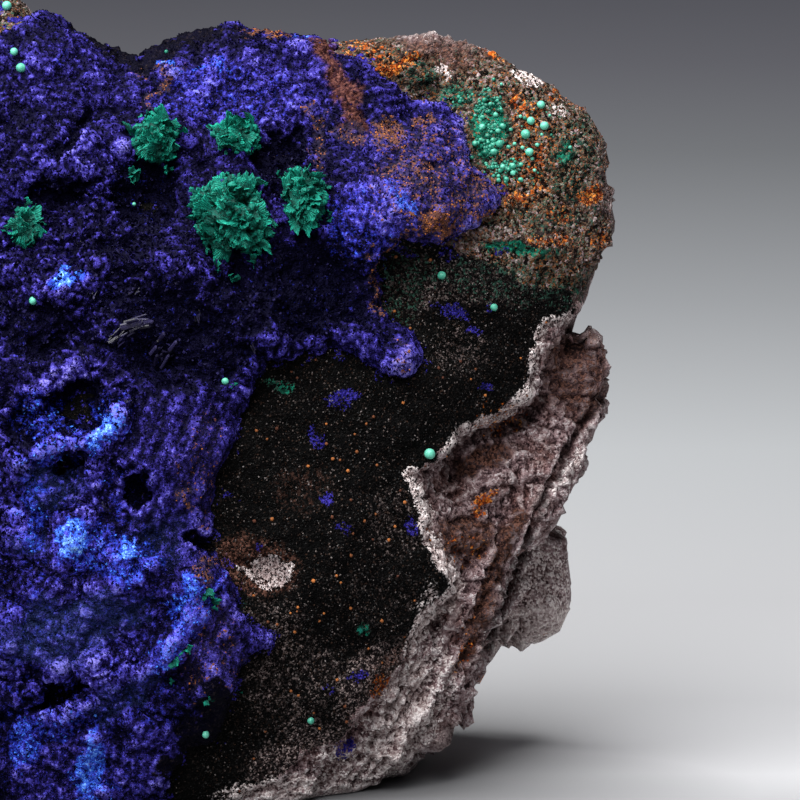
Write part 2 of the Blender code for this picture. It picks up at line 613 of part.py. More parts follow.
def bead_patch(grounds, parts, cutters, finish):
    """A thin green patch with round beads that have grown into it and into each other."""
    middle_across, middle_up = PATCH_CENTRE
    sphere = bmesh.new()
    bmesh.ops.create_icosphere(sphere, subdivisions=4, radius=1.0)
    directions = np.array([v.co for v in sphere.verts])
    ragged = np.array([noise.noise(Vector(d) * 1.9) for d in directions])
    across = middle_across + directions[:, 0] * PATCH_HALF_WIDTH * (1.0 + 0.5 * ragged)
    up = middle_up + directions[:, 2] * PATCH_HALF_HEIGHT * (1.0 + 0.25 * ragged)
    ground = np.array([surface_seat(grounds, *place)[2] for place in zip(across, up)])
    positions = np.stack([across, up, ground - directions[:, 1]], axis=-1)
    positions += outward(sphere, positions) * rough(positions, 1.4, 0.3, 6.6)[:, None]
    patch = link_body("malachite_bead_patch", sphere, positions, parts, finish)
    thin_out(patch, 0.15, PATCH_TRIANGLES)
    for number, (across, up, radius) in enumerate(PATCH_BEADS, start=1):
        grown, _ = bead(f"grown_bead_{number:02d}", grounds, across, up, radius, cutters, finish)
        as_cutter(grown)
        combine(patch, grown, "UNION")
    for _, cutter in grounds:
        combine(patch, cutter, "DIFFERENCE")
    keep_largest(patch)


def main():
    """Builds the specimen from the rock outwards."""
    for old in list(bpy.data.objects):
        bpy.data.objects.remove(old)
    parts = bpy.data.collections.new("azurite_with_malachite")
    cutters = bpy.data.collections.new("cutters")
    for collection in (parts, cutters):
        bpy.context.scene.collection.children.link(collection)
    stone = material("host_rock", (0.062, 0.045, 0.042), 0.85)
    blue = material("azurite", (0.028, 0.022, 0.150), 0.55)
    green = material("malachite", (0.008, 0.180, 0.110), 0.60)
    pale_green = material("malachite_bead", (0.140, 0.520, 0.380), 0.50)

    rock = matrix_rock(parts, cutters, stone)
    crust = azurite_crust(rock, parts, cutters, blue)
    rock_cutter = bpy.data.objects["rock_with_gap"]
    crust_cutter = evaluated_copy(crust, "crust_with_gap", cutters, GAP)
    graph = bpy.context.evaluated_depsgraph_get()
    grounds = ((BVHTree.FromObject(rock, graph), rock_cutter), (BVHTree.FromObject(crust, graph), crust_cutter))
    for spray in SPRAYS:
        malachite_spray(spray, grounds, parts, green)
    bead_patch(grounds, parts, cutters, pale_green)
    for number, (across, up, radius) in enumerate(LONE_BEADS, start=1):
        lone, cutter = bead(f"malachite_bead_{number:02d}", grounds, across, up, radius, parts, pale_green)
        combine(lone, cutter, "DIFFERENCE")
        keep_largest(lone)


main()
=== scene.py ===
"""Azurite with malachite on manganese-coated host rock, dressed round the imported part."""

import itertools
import logging
import math
from dataclasses import dataclass, field
from enum import Enum

import bmesh
import bpy
import numpy as np
from bpy.types import ID, Material, Mesh, Node, NodeSocket, NodeTree, Object
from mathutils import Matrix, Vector
from mathutils.bvhtree import BVHTree


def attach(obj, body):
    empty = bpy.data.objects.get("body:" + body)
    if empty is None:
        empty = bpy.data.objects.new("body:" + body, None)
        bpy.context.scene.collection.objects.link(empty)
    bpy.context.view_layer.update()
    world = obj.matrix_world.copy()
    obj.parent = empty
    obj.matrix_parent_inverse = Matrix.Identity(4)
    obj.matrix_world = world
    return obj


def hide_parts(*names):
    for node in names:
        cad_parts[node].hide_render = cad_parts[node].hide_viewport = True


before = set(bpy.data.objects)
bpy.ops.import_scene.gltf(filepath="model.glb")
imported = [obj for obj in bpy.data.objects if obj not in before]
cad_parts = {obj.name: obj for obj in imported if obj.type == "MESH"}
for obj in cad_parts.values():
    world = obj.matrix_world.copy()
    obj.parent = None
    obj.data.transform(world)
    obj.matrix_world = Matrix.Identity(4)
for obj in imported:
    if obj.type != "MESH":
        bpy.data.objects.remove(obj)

LOG = logging.getLogger("azurite_specimen")
Array = np.ndarray
MM = 0.001
BODY = "root"
GROUP_LEVELS = 10


class Slot(Enum):
    """The record's material slots."""

    ROCK = "host_rock"
    AZURITE = "azurite"
    MALACHITE = "malachite"
    BEAD = "malachite_bead"


# ---- drawing and its marks


@dataclass(frozen=True)
class DesignSheet:
    """The drawing that every growth is placed on, as the eye sees it, in millimetres."""

    eye_distance: float = 800.0
    eye_tilt: float = math.radians(8.0)
    sight_across: float = 26.25
    sight_up: float = 51.9
    base_height: float = 3.4
    middle_depth: float = 10.7

    def to_world(self, across: Array, up: Array, forward: Array) -> Array:
        """Places drawing points in the part's frame: a point nearer the eye shrinks towards its line.

        Args:
            across: millimetres to the right on the drawing.
            up: millimetres up on the drawing.
            forward: millimetres towards the eye.

        Returns:
            The points in millimetres, one row each.
        """
        near = 1.0 - forward / self.eye_distance
        rise = self.sight_up + (up - self.sight_up) * near
        turn_cos, turn_sin = math.cos(self.eye_tilt), math.sin(self.eye_tilt)
        return np.stack((
            self.sight_across + (across - self.sight_across) * near,
            rise * turn_sin - forward * turn_cos - self.middle_depth,
            rise * turn_cos + forward * turn_sin - self.base_height,
        ), axis=-1)

    def from_world(self, points: Array) -> tuple[Array, Array, Array]:
        """Finds where points of the part lie on the drawing, the reverse of to_world.

        Args:
            points: millimetres in the part's frame, one row each.

        Returns:
            Across, up and forward, in millimetres.
        """
        turn_cos, turn_sin = math.cos(self.eye_tilt), math.sin(self.eye_tilt)
        depth = points[:, 1] + self.middle_depth
        height = points[:, 2] + self.base_height
        forward = height * turn_sin - depth * turn_cos
        rise = depth * turn_sin + height * turn_cos
        near = 1.0 - forward / self.eye_distance
        return (
            self.sight_across + (points[:, 0] - self.sight_across) / near,
            self.sight_up + (rise - self.sight_up) / near,
            forward,
        )

    def eye(self) -> Array:
        """Gives the eye's place in millimetres."""
        here = np.array([0.0])
        return self.to_world(here, here, here + self.eye_distance)[0]

    def towards_eye(self) -> Array:
        """Gives the unit direction from the stone to the eye."""
        return np.array([0.0, -math.cos(self.eye_tilt), math.sin(self.eye_tilt)])


@dataclass(frozen=True)
class Blot:
    """A soft-edged oval on the drawing: its middle, half axes, turn in degrees and strength."""

    across: float
    up: float
    half_long: float
    half_wide: float
    turn: float
    strength: float

    def amount(self, across: Array, up: Array) -> Array:
        """Measures the oval's share: its strength times a smooth step from 1.35 half axes in to 0.65.

        Args:
            across: millimetres to the right.
            up: millimetres up.

        Returns:
            The share at each point.
        """
        angle = math.radians(self.turn)
        right, rise = across - self.across, up - self.up
        along = (right * math.cos(angle) + rise * math.sin(angle)) / self.half_long
        beside = (rise * math.cos(angle) - right * math.sin(angle)) / self.half_wide
        return self.strength * smooth_step(1.35 - np.hypot(along, beside), 0.0, 0.7)


@dataclass(frozen=True)
class Trail:
    """A soft-edged stroke on the drawing along a line of points, with half its width."""

    points: tuple[tuple[float, float], ...]
    half_width: float
    strength: float

    def amount(self, across: Array, up: Array) -> Array:
        """Gives the strength times a smooth step of the distance from the line."""
        gap = line_distance(across, up, self.points) / self.half_width
        return self.strength * smooth_step(1.5 - gap, 0.0, 0.9)


def smooth_step(value: Array, low: float, high: float) -> Array:
    """Rises from 0 at low to 1 at high as 3t^2 - 2t^3."""
    share = np.clip((value - low) / (high - low), 0.0, 1.0)
    return share * share * (3.0 - 2.0 * share)


def line_distance(across: Array, up: Array, points: tuple) -> Array:
    """Measures how far points are from a line of straight stretches.

    Args:
        across: millimetres to the right.
        up: millimetres up.
        points: the line's corners.

    Returns:
        The least distance to any stretch, in millimetres.
    """
    least = np.full(across.shape, 1e9)
    for (x0, y0), (x1, y1) in zip(points[:-1], points[1:]):
        dx, dy = x1 - x0, y1 - y0
        share = np.clip(((across - x0) * dx + (up - y0) * dy) / (dx * dx + dy * dy), 0.0, 1.0)
        least = np.minimum(least, np.hypot(across - x0 - share * dx, up - y0 - share * dy))
    return least


def inside_distance(across: Array, up: Array, outline: tuple) -> Array:
    """Measures the signed distance to a closed outline, above 0 inside it.

    Args:
        across: millimetres to the right.
        up: millimetres up.
        outline: the outline's corners.

    Returns:
        The distance to the nearest side, with its sign from the number of sides crossed.
    """
    inside = np.zeros(across.shape, bool)
    for (x0, y0), (x1, y1) in zip(outline, outline[1:] + outline[:1]):
        if y0 != y1:
            crossing = (y0 > up) != (y1 > up)
            inside ^= crossing & (across < x0 + (x1 - x0) * (up - y0) / (y1 - y0))
    gap = line_distance(across, up, outline + outline[:1])
    return np.where(inside, gap, -gap)


def painted(across: Array, up: Array, marks: tuple) -> Array:
    """Takes the strongest of a set of blots or trails.

    Args:
        across: millimetres to the right.
        up: millimetres up.
        marks: the blots and trails.

    Returns:
        The greatest share at each point, from 0 to 1.
    """
    most = np.zeros(across.shape)
    for mark in marks:
        most = np.maximum(most, mark.amount(across, up))
    return most


def unit(rows: Array) -> Array:
    """Scales each row to length 1."""
    return rows / np.linalg.norm(rows, axis=1, keepdims=True)


def dome(gap: Array, top: float) -> Array:
    """Rounds a cell into a dome: the root of top less the squared distance from its centre."""
    return np.sqrt(np.clip(top - gap ** 2, 0.0, top))


def combed(points: Array, slope: float, length: float) -> Array:
    """Squeezes the drawing along a slope, so that noise read there runs out in streaks along it.

    Args:
        points: millimetres in the part's frame, one row each.
        slope: the streaks' angle on the drawing, in degrees.
        length: how many times as long as wide they are.

    Returns:
        Where the noise is read, one row a point.
    """
    across, up, _ = SHEET.from_world(points)
    turn_cos, turn_sin = math.cos(math.radians(slope)), math.sin(math.radians(slope))
    return np.stack((
        (across * turn_cos + up * turn_sin) / length, across * turn_sin - up * turn_cos, points[:, 1] * 0.5,
    ), axis=1)


class Grain:
    """Seeded noise that roughens the stone. Points and sizes are in millimetres.

    Where one place is read for several patterns, the points are shifted by a few whole swells, only
    to set the patterns apart.
    """

    period: int = 256

    def __init__(self, seed: int) -> None:
        """Draws the shuffled order, the slopes and the cell centres.

        Args:
            seed: the start of the random draws.
        """
        rng = np.random.default_rng(seed)
        self.order = rng.permutation(self.period)
        self.slopes = unit(rng.normal(size=(self.period, 3)))
        self.centres = rng.random((self.period, 3))

    def _key(self, cell: Array) -> Array:
        """Gives each whole-numbered cell a shuffled number.

        Args:
            cell: rows of three whole numbers.

        Returns:
            One number from 0 to 255 for each row.
        """
        number = np.zeros(len(cell), np.int64)
        for axis in range(3):
            number = self.order[(number + cell[:, axis]) % self.period]
        return number

    def smooth(self, points: Array, size: float) -> Array:
        """Gradient noise: each corner's slope times the offset from it, blended by 6t^5 - 15t^4 + 10t^3.

        Args:
            points: where it is wanted, one row each.
            size: the spacing of its swells.

        Returns:
            Values between about -1 and 1.
        """
        place = points / size
        cell = np.floor(place).astype(np.int64)
        offset = place - cell
        fade = offset ** 3 * (offset * (6.0 * offset - 15.0) + 10.0)
        total = np.zeros(len(points))
        for corner in itertools.product((0, 1), repeat=3):
            slope = self.slopes[self._key(cell + np.array(corner))]
            share = np.prod(np.where(corner, fade, 1.0 - fade), axis=1)
            total += share * np.einsum("ij,ij->i", offset - np.array(corner), slope)
        return total * 1.6

    def fractal(self, points: Array, size: float, octaves: int, gain: float = 0.5) -> Array:
        """Adds smooth noise at sizes that halve, each gain times as strong as the one before."""
        return sum(gain ** k * self.smooth(points + 17.3 * k, size / 2 ** k) for k in range(octaves))

    def billow(self, points: Array, size: float, octaves: int, gain: float = 0.5) -> Array:
        """Adds the noise's absolute values, which makes round swells with sharp creases between."""
        return sum(gain ** k * np.abs(self.smooth(points + 31.7 * k, size / 2 ** k)) for k in range(octaves))

    def cells(self, points: Array, size: float) -> tuple[Array, Array, Array]:
        """Divides space into cells round jittered centres.

        Args:
            points: where it is wanted, one row each.
            size: the spacing of the centres.

        Returns:
            The distances to the nearest and the second centre in units of size, and the cell's number.
        """
        place = points / size
        base = np.floor(place).astype(np.int64)
        nearest, second = np.full(len(points), 9.0), np.full(len(points), 9.0)
        name = np.zeros(len(points), np.int64)
        for step in itertools.product((-1, 0, 1), repeat=3):
            cell = base + np.array(step)
            key = self._key(cell)
            gap = np.linalg.norm(cell + self.centres[key] - place, axis=1)
            closer = gap < nearest
            second = np.where(closer, nearest, np.minimum(second, gap))
            name = np.where(closer, key, name)
            nearest = np.where(closer, gap, nearest)
        return nearest, second, name

    def chips(self, points: Array, size: float) -> Array:
        """Makes flat chips: each cell is a plane of its own slope, so that its rims are small steps.

        Args:
            points: where it is wanted, one row each.
            size: the chips' width.

        Returns:
            Heights between about -1 and 1.
        """
        nearest, _, name = self.cells(points, size)
        tilt = self.slopes[name]
        offset = points / size
        plane = np.einsum("ij,ij->i", offset - np.round(offset), tilt)
        return plane * 0.8 + (self.centres[name, 0] - 0.5) * 0.6 - nearest * 0.2


SHEET = DesignSheet()
SKIN_OUTLINE = (
    (23.5, 61.6), (24.2, 64.4), (22.8, 68.1), (24.2, 70.9), (26.8, 72.9), (28.8, 72.4), (32.5, 71.1),
    (36.2, 69.1), (43.8, 66.2), (48.5, 65.4), (47.6, 62.4), (43.9, 61.2), (43, 57.4), (42.2, 52.9),
    (38.8, 50.4), (33.5, 47.8), (31.8, 45.4), (28, 42.6), (30, 36.9), (29.6, 34.2), (31.5, 31.6),
    (33.2, 28.4), (29, 25.4), (27.8, 21.9), (25.8, 18.4), (22.8, 15.6), (20.8, 12.4), (18.8, 9.4),
    (13.8, 7.9), (12, 4.9), (5, 1.9), (-11.2, -1.9), (-48.8, -1.9), (-61.2, 39.4), (-56.2, 76.9),
    (-5, 76.9), (13.8, 60.6),
)
CRUST_OUTLINE = (
    (28.5, 58.1), (25.6, 60.6), (22.8, 64.4), (23.1, 70), (26.2, 72.9), (31.2, 71.9), (36.2, 75),
    (38.2, 77.4), (34.4, 81), (33.4, 87), (30, 88.4), (26.2, 89.4), (22.5, 92.5), (19.4, 96.2),
    (18, 104), (-50, 104), (-50, 0.6), (-3, 0.6), (-3.4, 3.1), (-3, 6), (-0.6, 8.8),
    (2.8, 9.6), (5.2, 15.6), (6.2, 20), (9.8, 21.9), (6, 24.1), (4.4, 30), (2.2, 34.4), (1.9, 40.6),
    (4.8, 46.9), (5.2, 50.6), (7.8, 55.4), (11.5, 58), (17.5, 58.8), (21.9, 58.2), (25.6, 55.6),
    (28.1, 55),
)
BRIGHT_MARKS = (
    Blot(-16.2, 92.5, 6.9, 4.4, 0, 0.4), Blot(-10, 90.6, 4.4, 3.1, 0, 0.5),
    Blot(7.5, 90, 11.9, 5.2, 5, 0.75), Blot(1.2, 92.9, 6.2, 1.8, 5, 0.8),
    Blot(13.8, 91.9, 3.8, 6.2, 0, 0.7), Blot(23.8, 76.2, 5.2, 3.8, 0, 0.95),
    Blot(20, 68.1, 5.6, 1.2, 90, 0.8), Blot(26.6, 57.1, 2, 3, 0, 0.85),
    Blot(20, 59.4, 3.8, 1.1, -20, 0.6), Blot(-11.9, 83.1, 5.6, 2.8, 0, 0.5),
    Blot(-18.8, 83.1, 3.8, 2.5, 0, 0.35), Blot(25, 83.1, 6.2, 3.1, 0, 0.6),
    Blot(32.5, 83.1, 4.4, 3.8, 0, 0.6), Blot(32.5, 76.2, 5.6, 3.8, 0, 0.6),
    Blot(28.8, 87.5, 5, 1.9, -20, 0.5), Blot(12.5, 75, 2.5, 3.1, 0, 0.4),
    Blot(8.1, 75.6, 3.8, 3.1, 0, 0.3), Blot(-16.2, 55, 6.2, 1.5, 20, 0.7),
    Blot(-10, 48.8, 4.2, 1.8, 60, 0.85), Blot(-17.5, 45, 6.2, 1.4, 25, 0.7),
    Blot(-20.6, 39.4, 5, 1.1, 85, 0.55), Blot(-13.1, 39.4, 3.1, 2.5, 0, 0.5),
    Blot(-14.4, 33.8, 4.4, 3.2, 0, 0.8), Blot(-8.5, 32.9, 2.8, 1.8, 30, 0.75),
    Blot(-16.2, 27.9, 4, 1.2, 15, 0.65), Blot(-1.2, 43.1, 4.8, 10, 0, 0.5),
    Blot(1.2, 35.6, 3.1, 3.1, 0, 0.45), Blot(-0.6, 23.4, 10, 1.5, 52, 0.95),
    Blot(3.1, 21.9, 3.2, 5.2, 0, 0.6), Blot(-11.9, 18.4, 2.2, 2.1, 0, 0.85),
    Blot(-18.8, 8.8, 5, 5, 0, 0.5), Blot(-11.9, 7.5, 2, 4, 0, 0.9),
    Blot(-5, 6.9, 3.1, 4.4, 0, 0.65), Blot(-16.2, 12.5, 5.6, 1.5, 20, 0.6),
    Blot(-7.5, 26.9, 3.1, 1.8, 35, 0.6), Blot(-11.2, 29.4, 3.8, 1, 40, 0.6),
    Blot(-15.6, 67.5, 5, 2.5, 15, 0.6), Blot(-20.6, 94.4, 3.8, 2.5, 0, 0.4),
    Blot(-5, 46.9, 2.5, 3.8, 0, 0.4), Blot(6.2, 54.4, 3.1, 1.9, 0, 0.3),
    Blot(3.1, 48.1, 2.5, 3.8, 0, 0.45), Blot(-14, 20, 10, 8, 10, 0.6),
    Blot(-14, 5, 9, 6, 0, 0.65), Blot(-18, 30, 6, 6, 0, 0.35), Blot(-3, 36, 6, 12, 0, 0.35),
    Blot(-10, 39, 12, 8, 0, 0.25),
)
AZURE_MARKS = (
    Blot(-14, 20, 14, 26, 0, 0.2), Blot(-12.4, 5.6, 2.2, 5, -12, 0.8), Blot(-14.2, 34.6, 2.2, 2.4, 0, 0.9),
    Blot(-7.8, 33.6, 1.3, 1.9, 0, 0.9), Blot(-21, 9, 2, 4, 0, 0.6), Blot(-0.6, 27.6, 3.4, 0.9, 55, 0.7),
    Blot(5, 90, 10, 4, 5, 0.3), Blot(-19, 50, 4, 3, 0, 0.4), Blot(22, 74, 5, 5, 0, 0.35),
    Blot(-15.2, 67.1, 2.2, 1.1, 20, 0.9), Blot(-10.9, 47.9, 3.2, 0.8, 60, 0.9), Blot(-0.6, 23.4, 9.5, 1.6, 52, 0.55),
    Blot(-10.5, 48.5, 4.4, 2, 55, 0.5), Blot(-17.5, 45.5, 5.5, 1.6, 20, 0.5), Blot(-19.8, 38, 1.8, 5.5, 0, 0.5),
    Blot(-13, 33.5, 4.5, 3.5, 0, 0.5), Blot(-7, 31.5, 4.5, 2.4, 35, 0.5), Blot(-17, 11, 6, 2, 20, 0.45),
    Blot(-14.4, 33.4, 1.6, 1.6, 0, 0.95), Blot(-8.2, 33.1, 1.5, 0.8, 70, 0.9),
    Blot(-0.2, 27.1, 1.8, 0.6, 55, 0.6), Blot(-12.1, 8.8, 2.8, 0.9, 80, 0.95),
    Blot(-13.1, 2.9, 1.8, 1.5, 0, 0.8), Blot(-18.8, 26.9, 1.2, 0.6, 10, 0.5),
    Blot(-2.8, 94, 1.8, 0.5, -20, 0.9), Blot(2.5, 93.5, 3.8, 0.4, 5, 0.7),
    Blot(27.2, 76.2, 2.5, 0.8, -55, 0.8), Blot(25.6, 78.4, 1.2, 0.6, -40, 0.6),
    Blot(13.8, 97.4, 1.8, 0.4, -10, 0.6), Blot(-16.2, 94.1, 1, 0.8, 0, 0.3),
    Blot(-10.2, 3.1, 1.2, 1.2, 0, 0.5), Blot(-10, 41.9, 1.5, 0.8, 30, 0.4),
    Blot(-9.4, 38.8, 1, 1, 0, 0.4), Blot(21.9, 78.1, 2.2, 0.5, 70, 0.5),
)
# Hollows: carved into the crust and also darkened in its colour as painted shade.
HOLLOW_SHADE_MARKS = (
    Blot(-13.8, 51.2, 3.8, 3.1, 0, 1), Blot(-15.2, 44, 2.5, 1.1, 0, 0.9),
    Blot(-6.5, 40.4, 1.9, 1.1, 75, 0.9), Blot(-16.1, 15.1, 3.8, 1.6, 25, 1),
    Blot(-14.5, 85, 4.2, 1, 50, 0.55), Blot(-5.6, 77.5, 3.8, 4.5, 0, 0.75),
    Blot(15, 66.2, 7.8, 6.2, 0, 0.7), Blot(1.6, 34.2, 1.5, 1, 0, 0.95),
    Blot(11.5, 81.9, 3.2, 3.5, 0, 0.8), Blot(7.5, 64.4, 5, 4.4, 0, 0.5),
    Blot(-8.8, 70, 6.2, 2.5, 20, 0.4), Blot(-2.5, 60.6, 6.2, 6.2, 0, 0.6),
    Blot(-21.2, 48.8, 2.2, 2.5, 0, 0.7), Blot(-18.8, 60.6, 3.8, 3.8, 0, 0.4),
    Blot(2.5, 59.4, 6.2, 5.6, 0, 0.45), Blot(-7.5, 64.4, 3.8, 2.5, 0, 0.5),
    Blot(-16.2, 78.1, 3.8, 1.5, 15, 0.6), Blot(-5, 33.8, 2.2, 1.8, 0, 0.4),
    Blot(-8.8, 43.1, 1.2, 1.2, 0, 0.4), Blot(-19.4, 15.6, 1.2, 2.5, 0, 0.4),
)
SLATE_MARKS = (
    Blot(-15, 23.8, 9.4, 3.2, 15, 0.8), Blot(-17.5, 41.2, 3.8, 2.8, 0, 0.5),
    Blot(-8.8, 14.4, 5, 1.9, 20, 0.5), Blot(-20, 33.8, 2.5, 2, 0, 0.4),
    Blot(-3.8, 34.4, 3.8, 3.8, 0, 0.3), Blot(-16.2, 20.6, 5, 2.5, 0, 0.6),
)
OCHRE_MARKS = (
    Blot(9, 98, 3.2, 0.5, -3, 0.95), Blot(-3.8, 90.9, 3.2, 0.6, 55, 0.6),
    Blot(25, 85.6, 1.8, 2, 0, 0.75), Blot(29.4, 87.1, 1.1, 1.2, 0, 0.7),
    Blot(30.9, 73.8, 1.8, 1.4, -30, 0.95), Blot(37.1, 73.8, 1.1, 1.4, 0, 0.85),
    Blot(28.8, 79.4, 2.8, 1.8, 0, 0.45), Blot(33.1, 75.6, 3.1, 1.8, 0, 0.5),
    Blot(26.6, 57.5, 1.8, 2.2, 0, 0.25), Blot(20, 85, 2, 1, 0, 0.4),
    Blot(16.2, 83.1, 0.8, 3.1, 0, 0.3), Blot(-0.6, 39.4, 0.6, 1.8, 0, 0.4),
    Blot(1.9, 30.9, 1.5, 2, 0, 0.45), Blot(-3.8, 93.4, 3.8, 0.5, 10, 0.35),
    Blot(26.9, 80.6, 3.1, 1.8, 0, 0.4), Blot(36.2, 78.1, 2.5, 1.5, 0, 0.4),
    Blot(15.6, 87.5, 1, 2, 0, 0.4),
    Trail(((26.9, 72.9), (25, 71.2), (23.2, 68.8), (23, 64.4), (23.9, 61.9)), 0.28, 0.6),
    Blot(31, 79, 8, 7.5, 0, 0.24), Blot(3, 20, 4, 8, 0, 0.14), Blot(1.5, 43, 3, 8, 0, 0.12),
)
VEIN_MARKS = (
    Trail(((16.5, 96.6), (18.5, 92.1), (20.2, 88.4), (21.2, 85.6)), 1.1, 1),
)
SOOT_MARKS = (
    Blot(3.4, 13, 2.6, 3.8, 0, 1), Blot(1, 9, 3, 2.8, 0, 1), Blot(-1.2, 5, 2.4, 3.2, 0, 1),
    Trail(((-4.9, 94.8), (-3, 96.2), (-0.5, 97.3), (1.8, 97.9)), 1.3, 1), Blot(-18.5, 97, 5, 1.2, -20, 0.4),
    Trail(((-13.5, 98.6), (-10, 96.3), (-7.5, 94.7), (-5.5, 93.8)), 1.1, 1), Blot(5, 98, 3, 0.6, 0, 0.6),
)
BLUE_DUST_MARKS = (
    Blot(19.1, 52.1, 2.2, 1.2, 0, 0.9), Blot(15.8, 47.1, 1.8, 0.6, -60, 0.8),
    Blot(33.2, 62.9, 1.1, 1.5, 60, 0.9), Blot(35.6, 60.6, 0.8, 0.5, 0, 0.8),
    Blot(17, 39.4, 1.1, 0.8, 0, 0.8), Blot(19.4, 35.8, 1, 0.5, 0, 0.7),
    Blot(27.5, 36, 0.8, 1, 0, 0.7), Blot(37.2, 53.5, 0.8, 0.4, 0, 0.8),
    Blot(21.2, 17.5, 1.4, 0.6, 0, 0.8), Blot(19.5, 8.4, 1.4, 1, 50, 0.85),
    Blot(8.1, 22.1, 2, 1.8, 0, 0.8), Blot(6.9, 24.4, 1, 0.8, 0, 0.6),
    Blot(4.8, 40, 0.6, 1.5, 60, 0.5), Blot(31.2, 63.6, 0.6, 1, 60, 0.4),
    Blot(26.9, 70.1, 0.6, 1.2, 60, 0.6), Blot(17.5, 15.6, 0.6, 0.5, 0, 0.5),
    Blot(32.2, 70, 1.2, 0.8, 0, 0.5), Blot(38.8, 70.6, 1, 0.5, 0, 0.5),
    Blot(37.5, 63.1, 0.5, 0.8, 0, 0.4), Blot(8.8, 33.4, 0.5, 0.5, 0, 0.7),
)
GREEN_MARKS = (
    Blot(26.2, 66.2, 3.5, 5, 0, 0.43), Blot(40.2, 70.9, 4.2, 0.8, -8, 0.9),
    Blot(46.9, 82.9, 1.8, 1, 60, 0.7), Blot(48.8, 66.2, 1.5, 2, 0, 0.5),
    Blot(37.3, 85.8, 2.4, 4.4, 0, 0.85), Blot(21.6, 23.2, 1, 0.9, 0, 0.95),
    Blot(11.9, 53.4, 1.5, 0.8, 0, 0.8), Blot(44, 70.2, 3, 0.8, 0, 0.55),
    Blot(45.6, 75, 5, 3.1, 0, 0.35), Blot(28.8, 92.5, 2.2, 1.8, 0, 0.5),
    Blot(33.1, 90, 2.8, 1.8, 0, 0.6), Blot(48.8, 78.1, 1.2, 1.5, 0, 0.4),
    Blot(6.9, 26.9, 0.8, 0.8, 0, 0.4), Blot(10, 53.8, 1, 0.6, 0, 0.6), Blot(39, 66.5, 11, 2.8, -8, 0.42),
    Blot(48, 80, 4, 8, 0, 0.36), Blot(39.6, 80.8, 2, 1.6, 0, 0.4),
)
RUST_MARKS = (
    Blot(25.2, 93.4, 2.5, 1, 10, 0.7), Blot(37.2, 95.6, 1.8, 0.5, -35, 0.95),
    Blot(23.5, 16.1, 1.5, 1.1, 45, 0.7),
    Blot(37.2, 39.6, 1.8, 0.6, 30, 0.9), Blot(36, 37.9, 0.8, 0.6, 0, 0.8),
    Blot(50, 77.5, 1.8, 1.2, 30, 0.8), Blot(46.2, 75, 2.5, 1.2, 0, 0.55),
    Blot(41.2, 76.9, 1.8, 1, 0, 0.5), Blot(27.5, 94.4, 1.8, 1, 0, 0.6),
    Blot(34.4, 21.2, 3.8, 1, 70, 0.25), Blot(34.1, 32.9, 3, 2.5, 0, 0.18),
    Blot(38.8, 49.4, 3.8, 2.2, 0, 0.2),
    Blot(45, 71.9, 3.1, 1, 0, 0.5), Blot(40.6, 89.4, 1.2, 1, 0, 0.5),
    Blot(45.6, 90, 1.2, 1, 0, 0.4), Blot(51.2, 71.9, 1.2, 1.2, 0, 0.4),
    Blot(44, 80, 5.5, 6, 0, 0.35), Blot(42, 86.6, 2.2, 3.2, 0, 0.4), Blot(22, 95.4, 3.4, 1.6, 0, 0.36),
)
PALE_MARKS = (
    Blot(42.2, 92.4, 2.2, 1.1, -35, 0.55), Blot(30, 97.1, 2.8, 0.8, -5, 0.25),
    Blot(31.9, 92.9, 1.2, 1, 0, 0.5), Blot(46.2, 88.1, 1.2, 0.8, 0, 0.4),
    Blot(10.2, 30.5, 2.7, 1.8, -15, 1), Blot(26.2, 10.6, 7.5, 4.2, 55, 0.75),
    Blot(13.8, 3.1, 11.2, 2, 5, 0.7), Blot(30, 21.9, 2, 7.5, 0, 0.5),
    Blot(45.6, 71.9, 1.5, 0.8, 0, 0.5), Blot(47.5, 43.1, 3.8, 1, 55, 0.7),
    Blot(51.5, 81.9, 1, 2.8, 0, 0.3), Blot(33.8, 48.1, 1.2, 0.8, 20, 0.5),
    Blot(43.1, 23.4, 6, 3.2, 20, 1), Blot(31.2, 16.9, 2.5, 5, 0, 0.5),
    Blot(20, 6.9, 5, 2.5, 0, 0.5), Blot(44, 29, 4, 5.5, 0, 0.55), Blot(26.6, 15.4, 4.6, 2, 60, 0.85),
    Trail(((47.8, 62.1), (43.9, 61.2), (43, 57.4), (42.5, 52.9), (39, 50.2), (33.5, 47.8),
           (32, 45.4)), 0.62, 0.75),
    Trail(((27.6, 42.6), (29.2, 38.4), (30, 35), (31.4, 31.9), (33.5, 28.4), (31.9, 26.1),
           (29.2, 24.6), (27.5, 20.6)), 0.88, 0.95),
    Trail(((6.2, 30.9), (9, 28.4), (11.2, 28.6), (13, 31.2)), 0.38, 0.9),
)
GROOVE_MARKS = (
    Trail(((51.2, 51.9), (47.8, 46.9), (44.4, 39.4), (41.2, 31.9), (38.4, 24.4), (37.2, 20)), 0.5, 0.9),
    Trail(((32.5, 45), (35, 46.9), (41.2, 48.8), (44.4, 51.9)), 0.75, 0.7),
    Trail(((27.5, 21.9), (25.6, 14.4), (21.2, 6.9)), 0.38, 0.4),
    Blot(47.8, 59.4, 1.5, 2, 0, 0.9), Blot(33.1, 43.1, 2, 1.5, 0, 0.6),
    Blot(25.6, 91.9, 2.8, 1.2, 0, 0.7), Blot(29.4, 90.6, 2, 1.2, 0, 0.8),
    Blot(33.8, 81.2, 2, 1, 0, 0.8), Blot(26.2, 70, 2.5, 1.8, 0, 0.6),
)
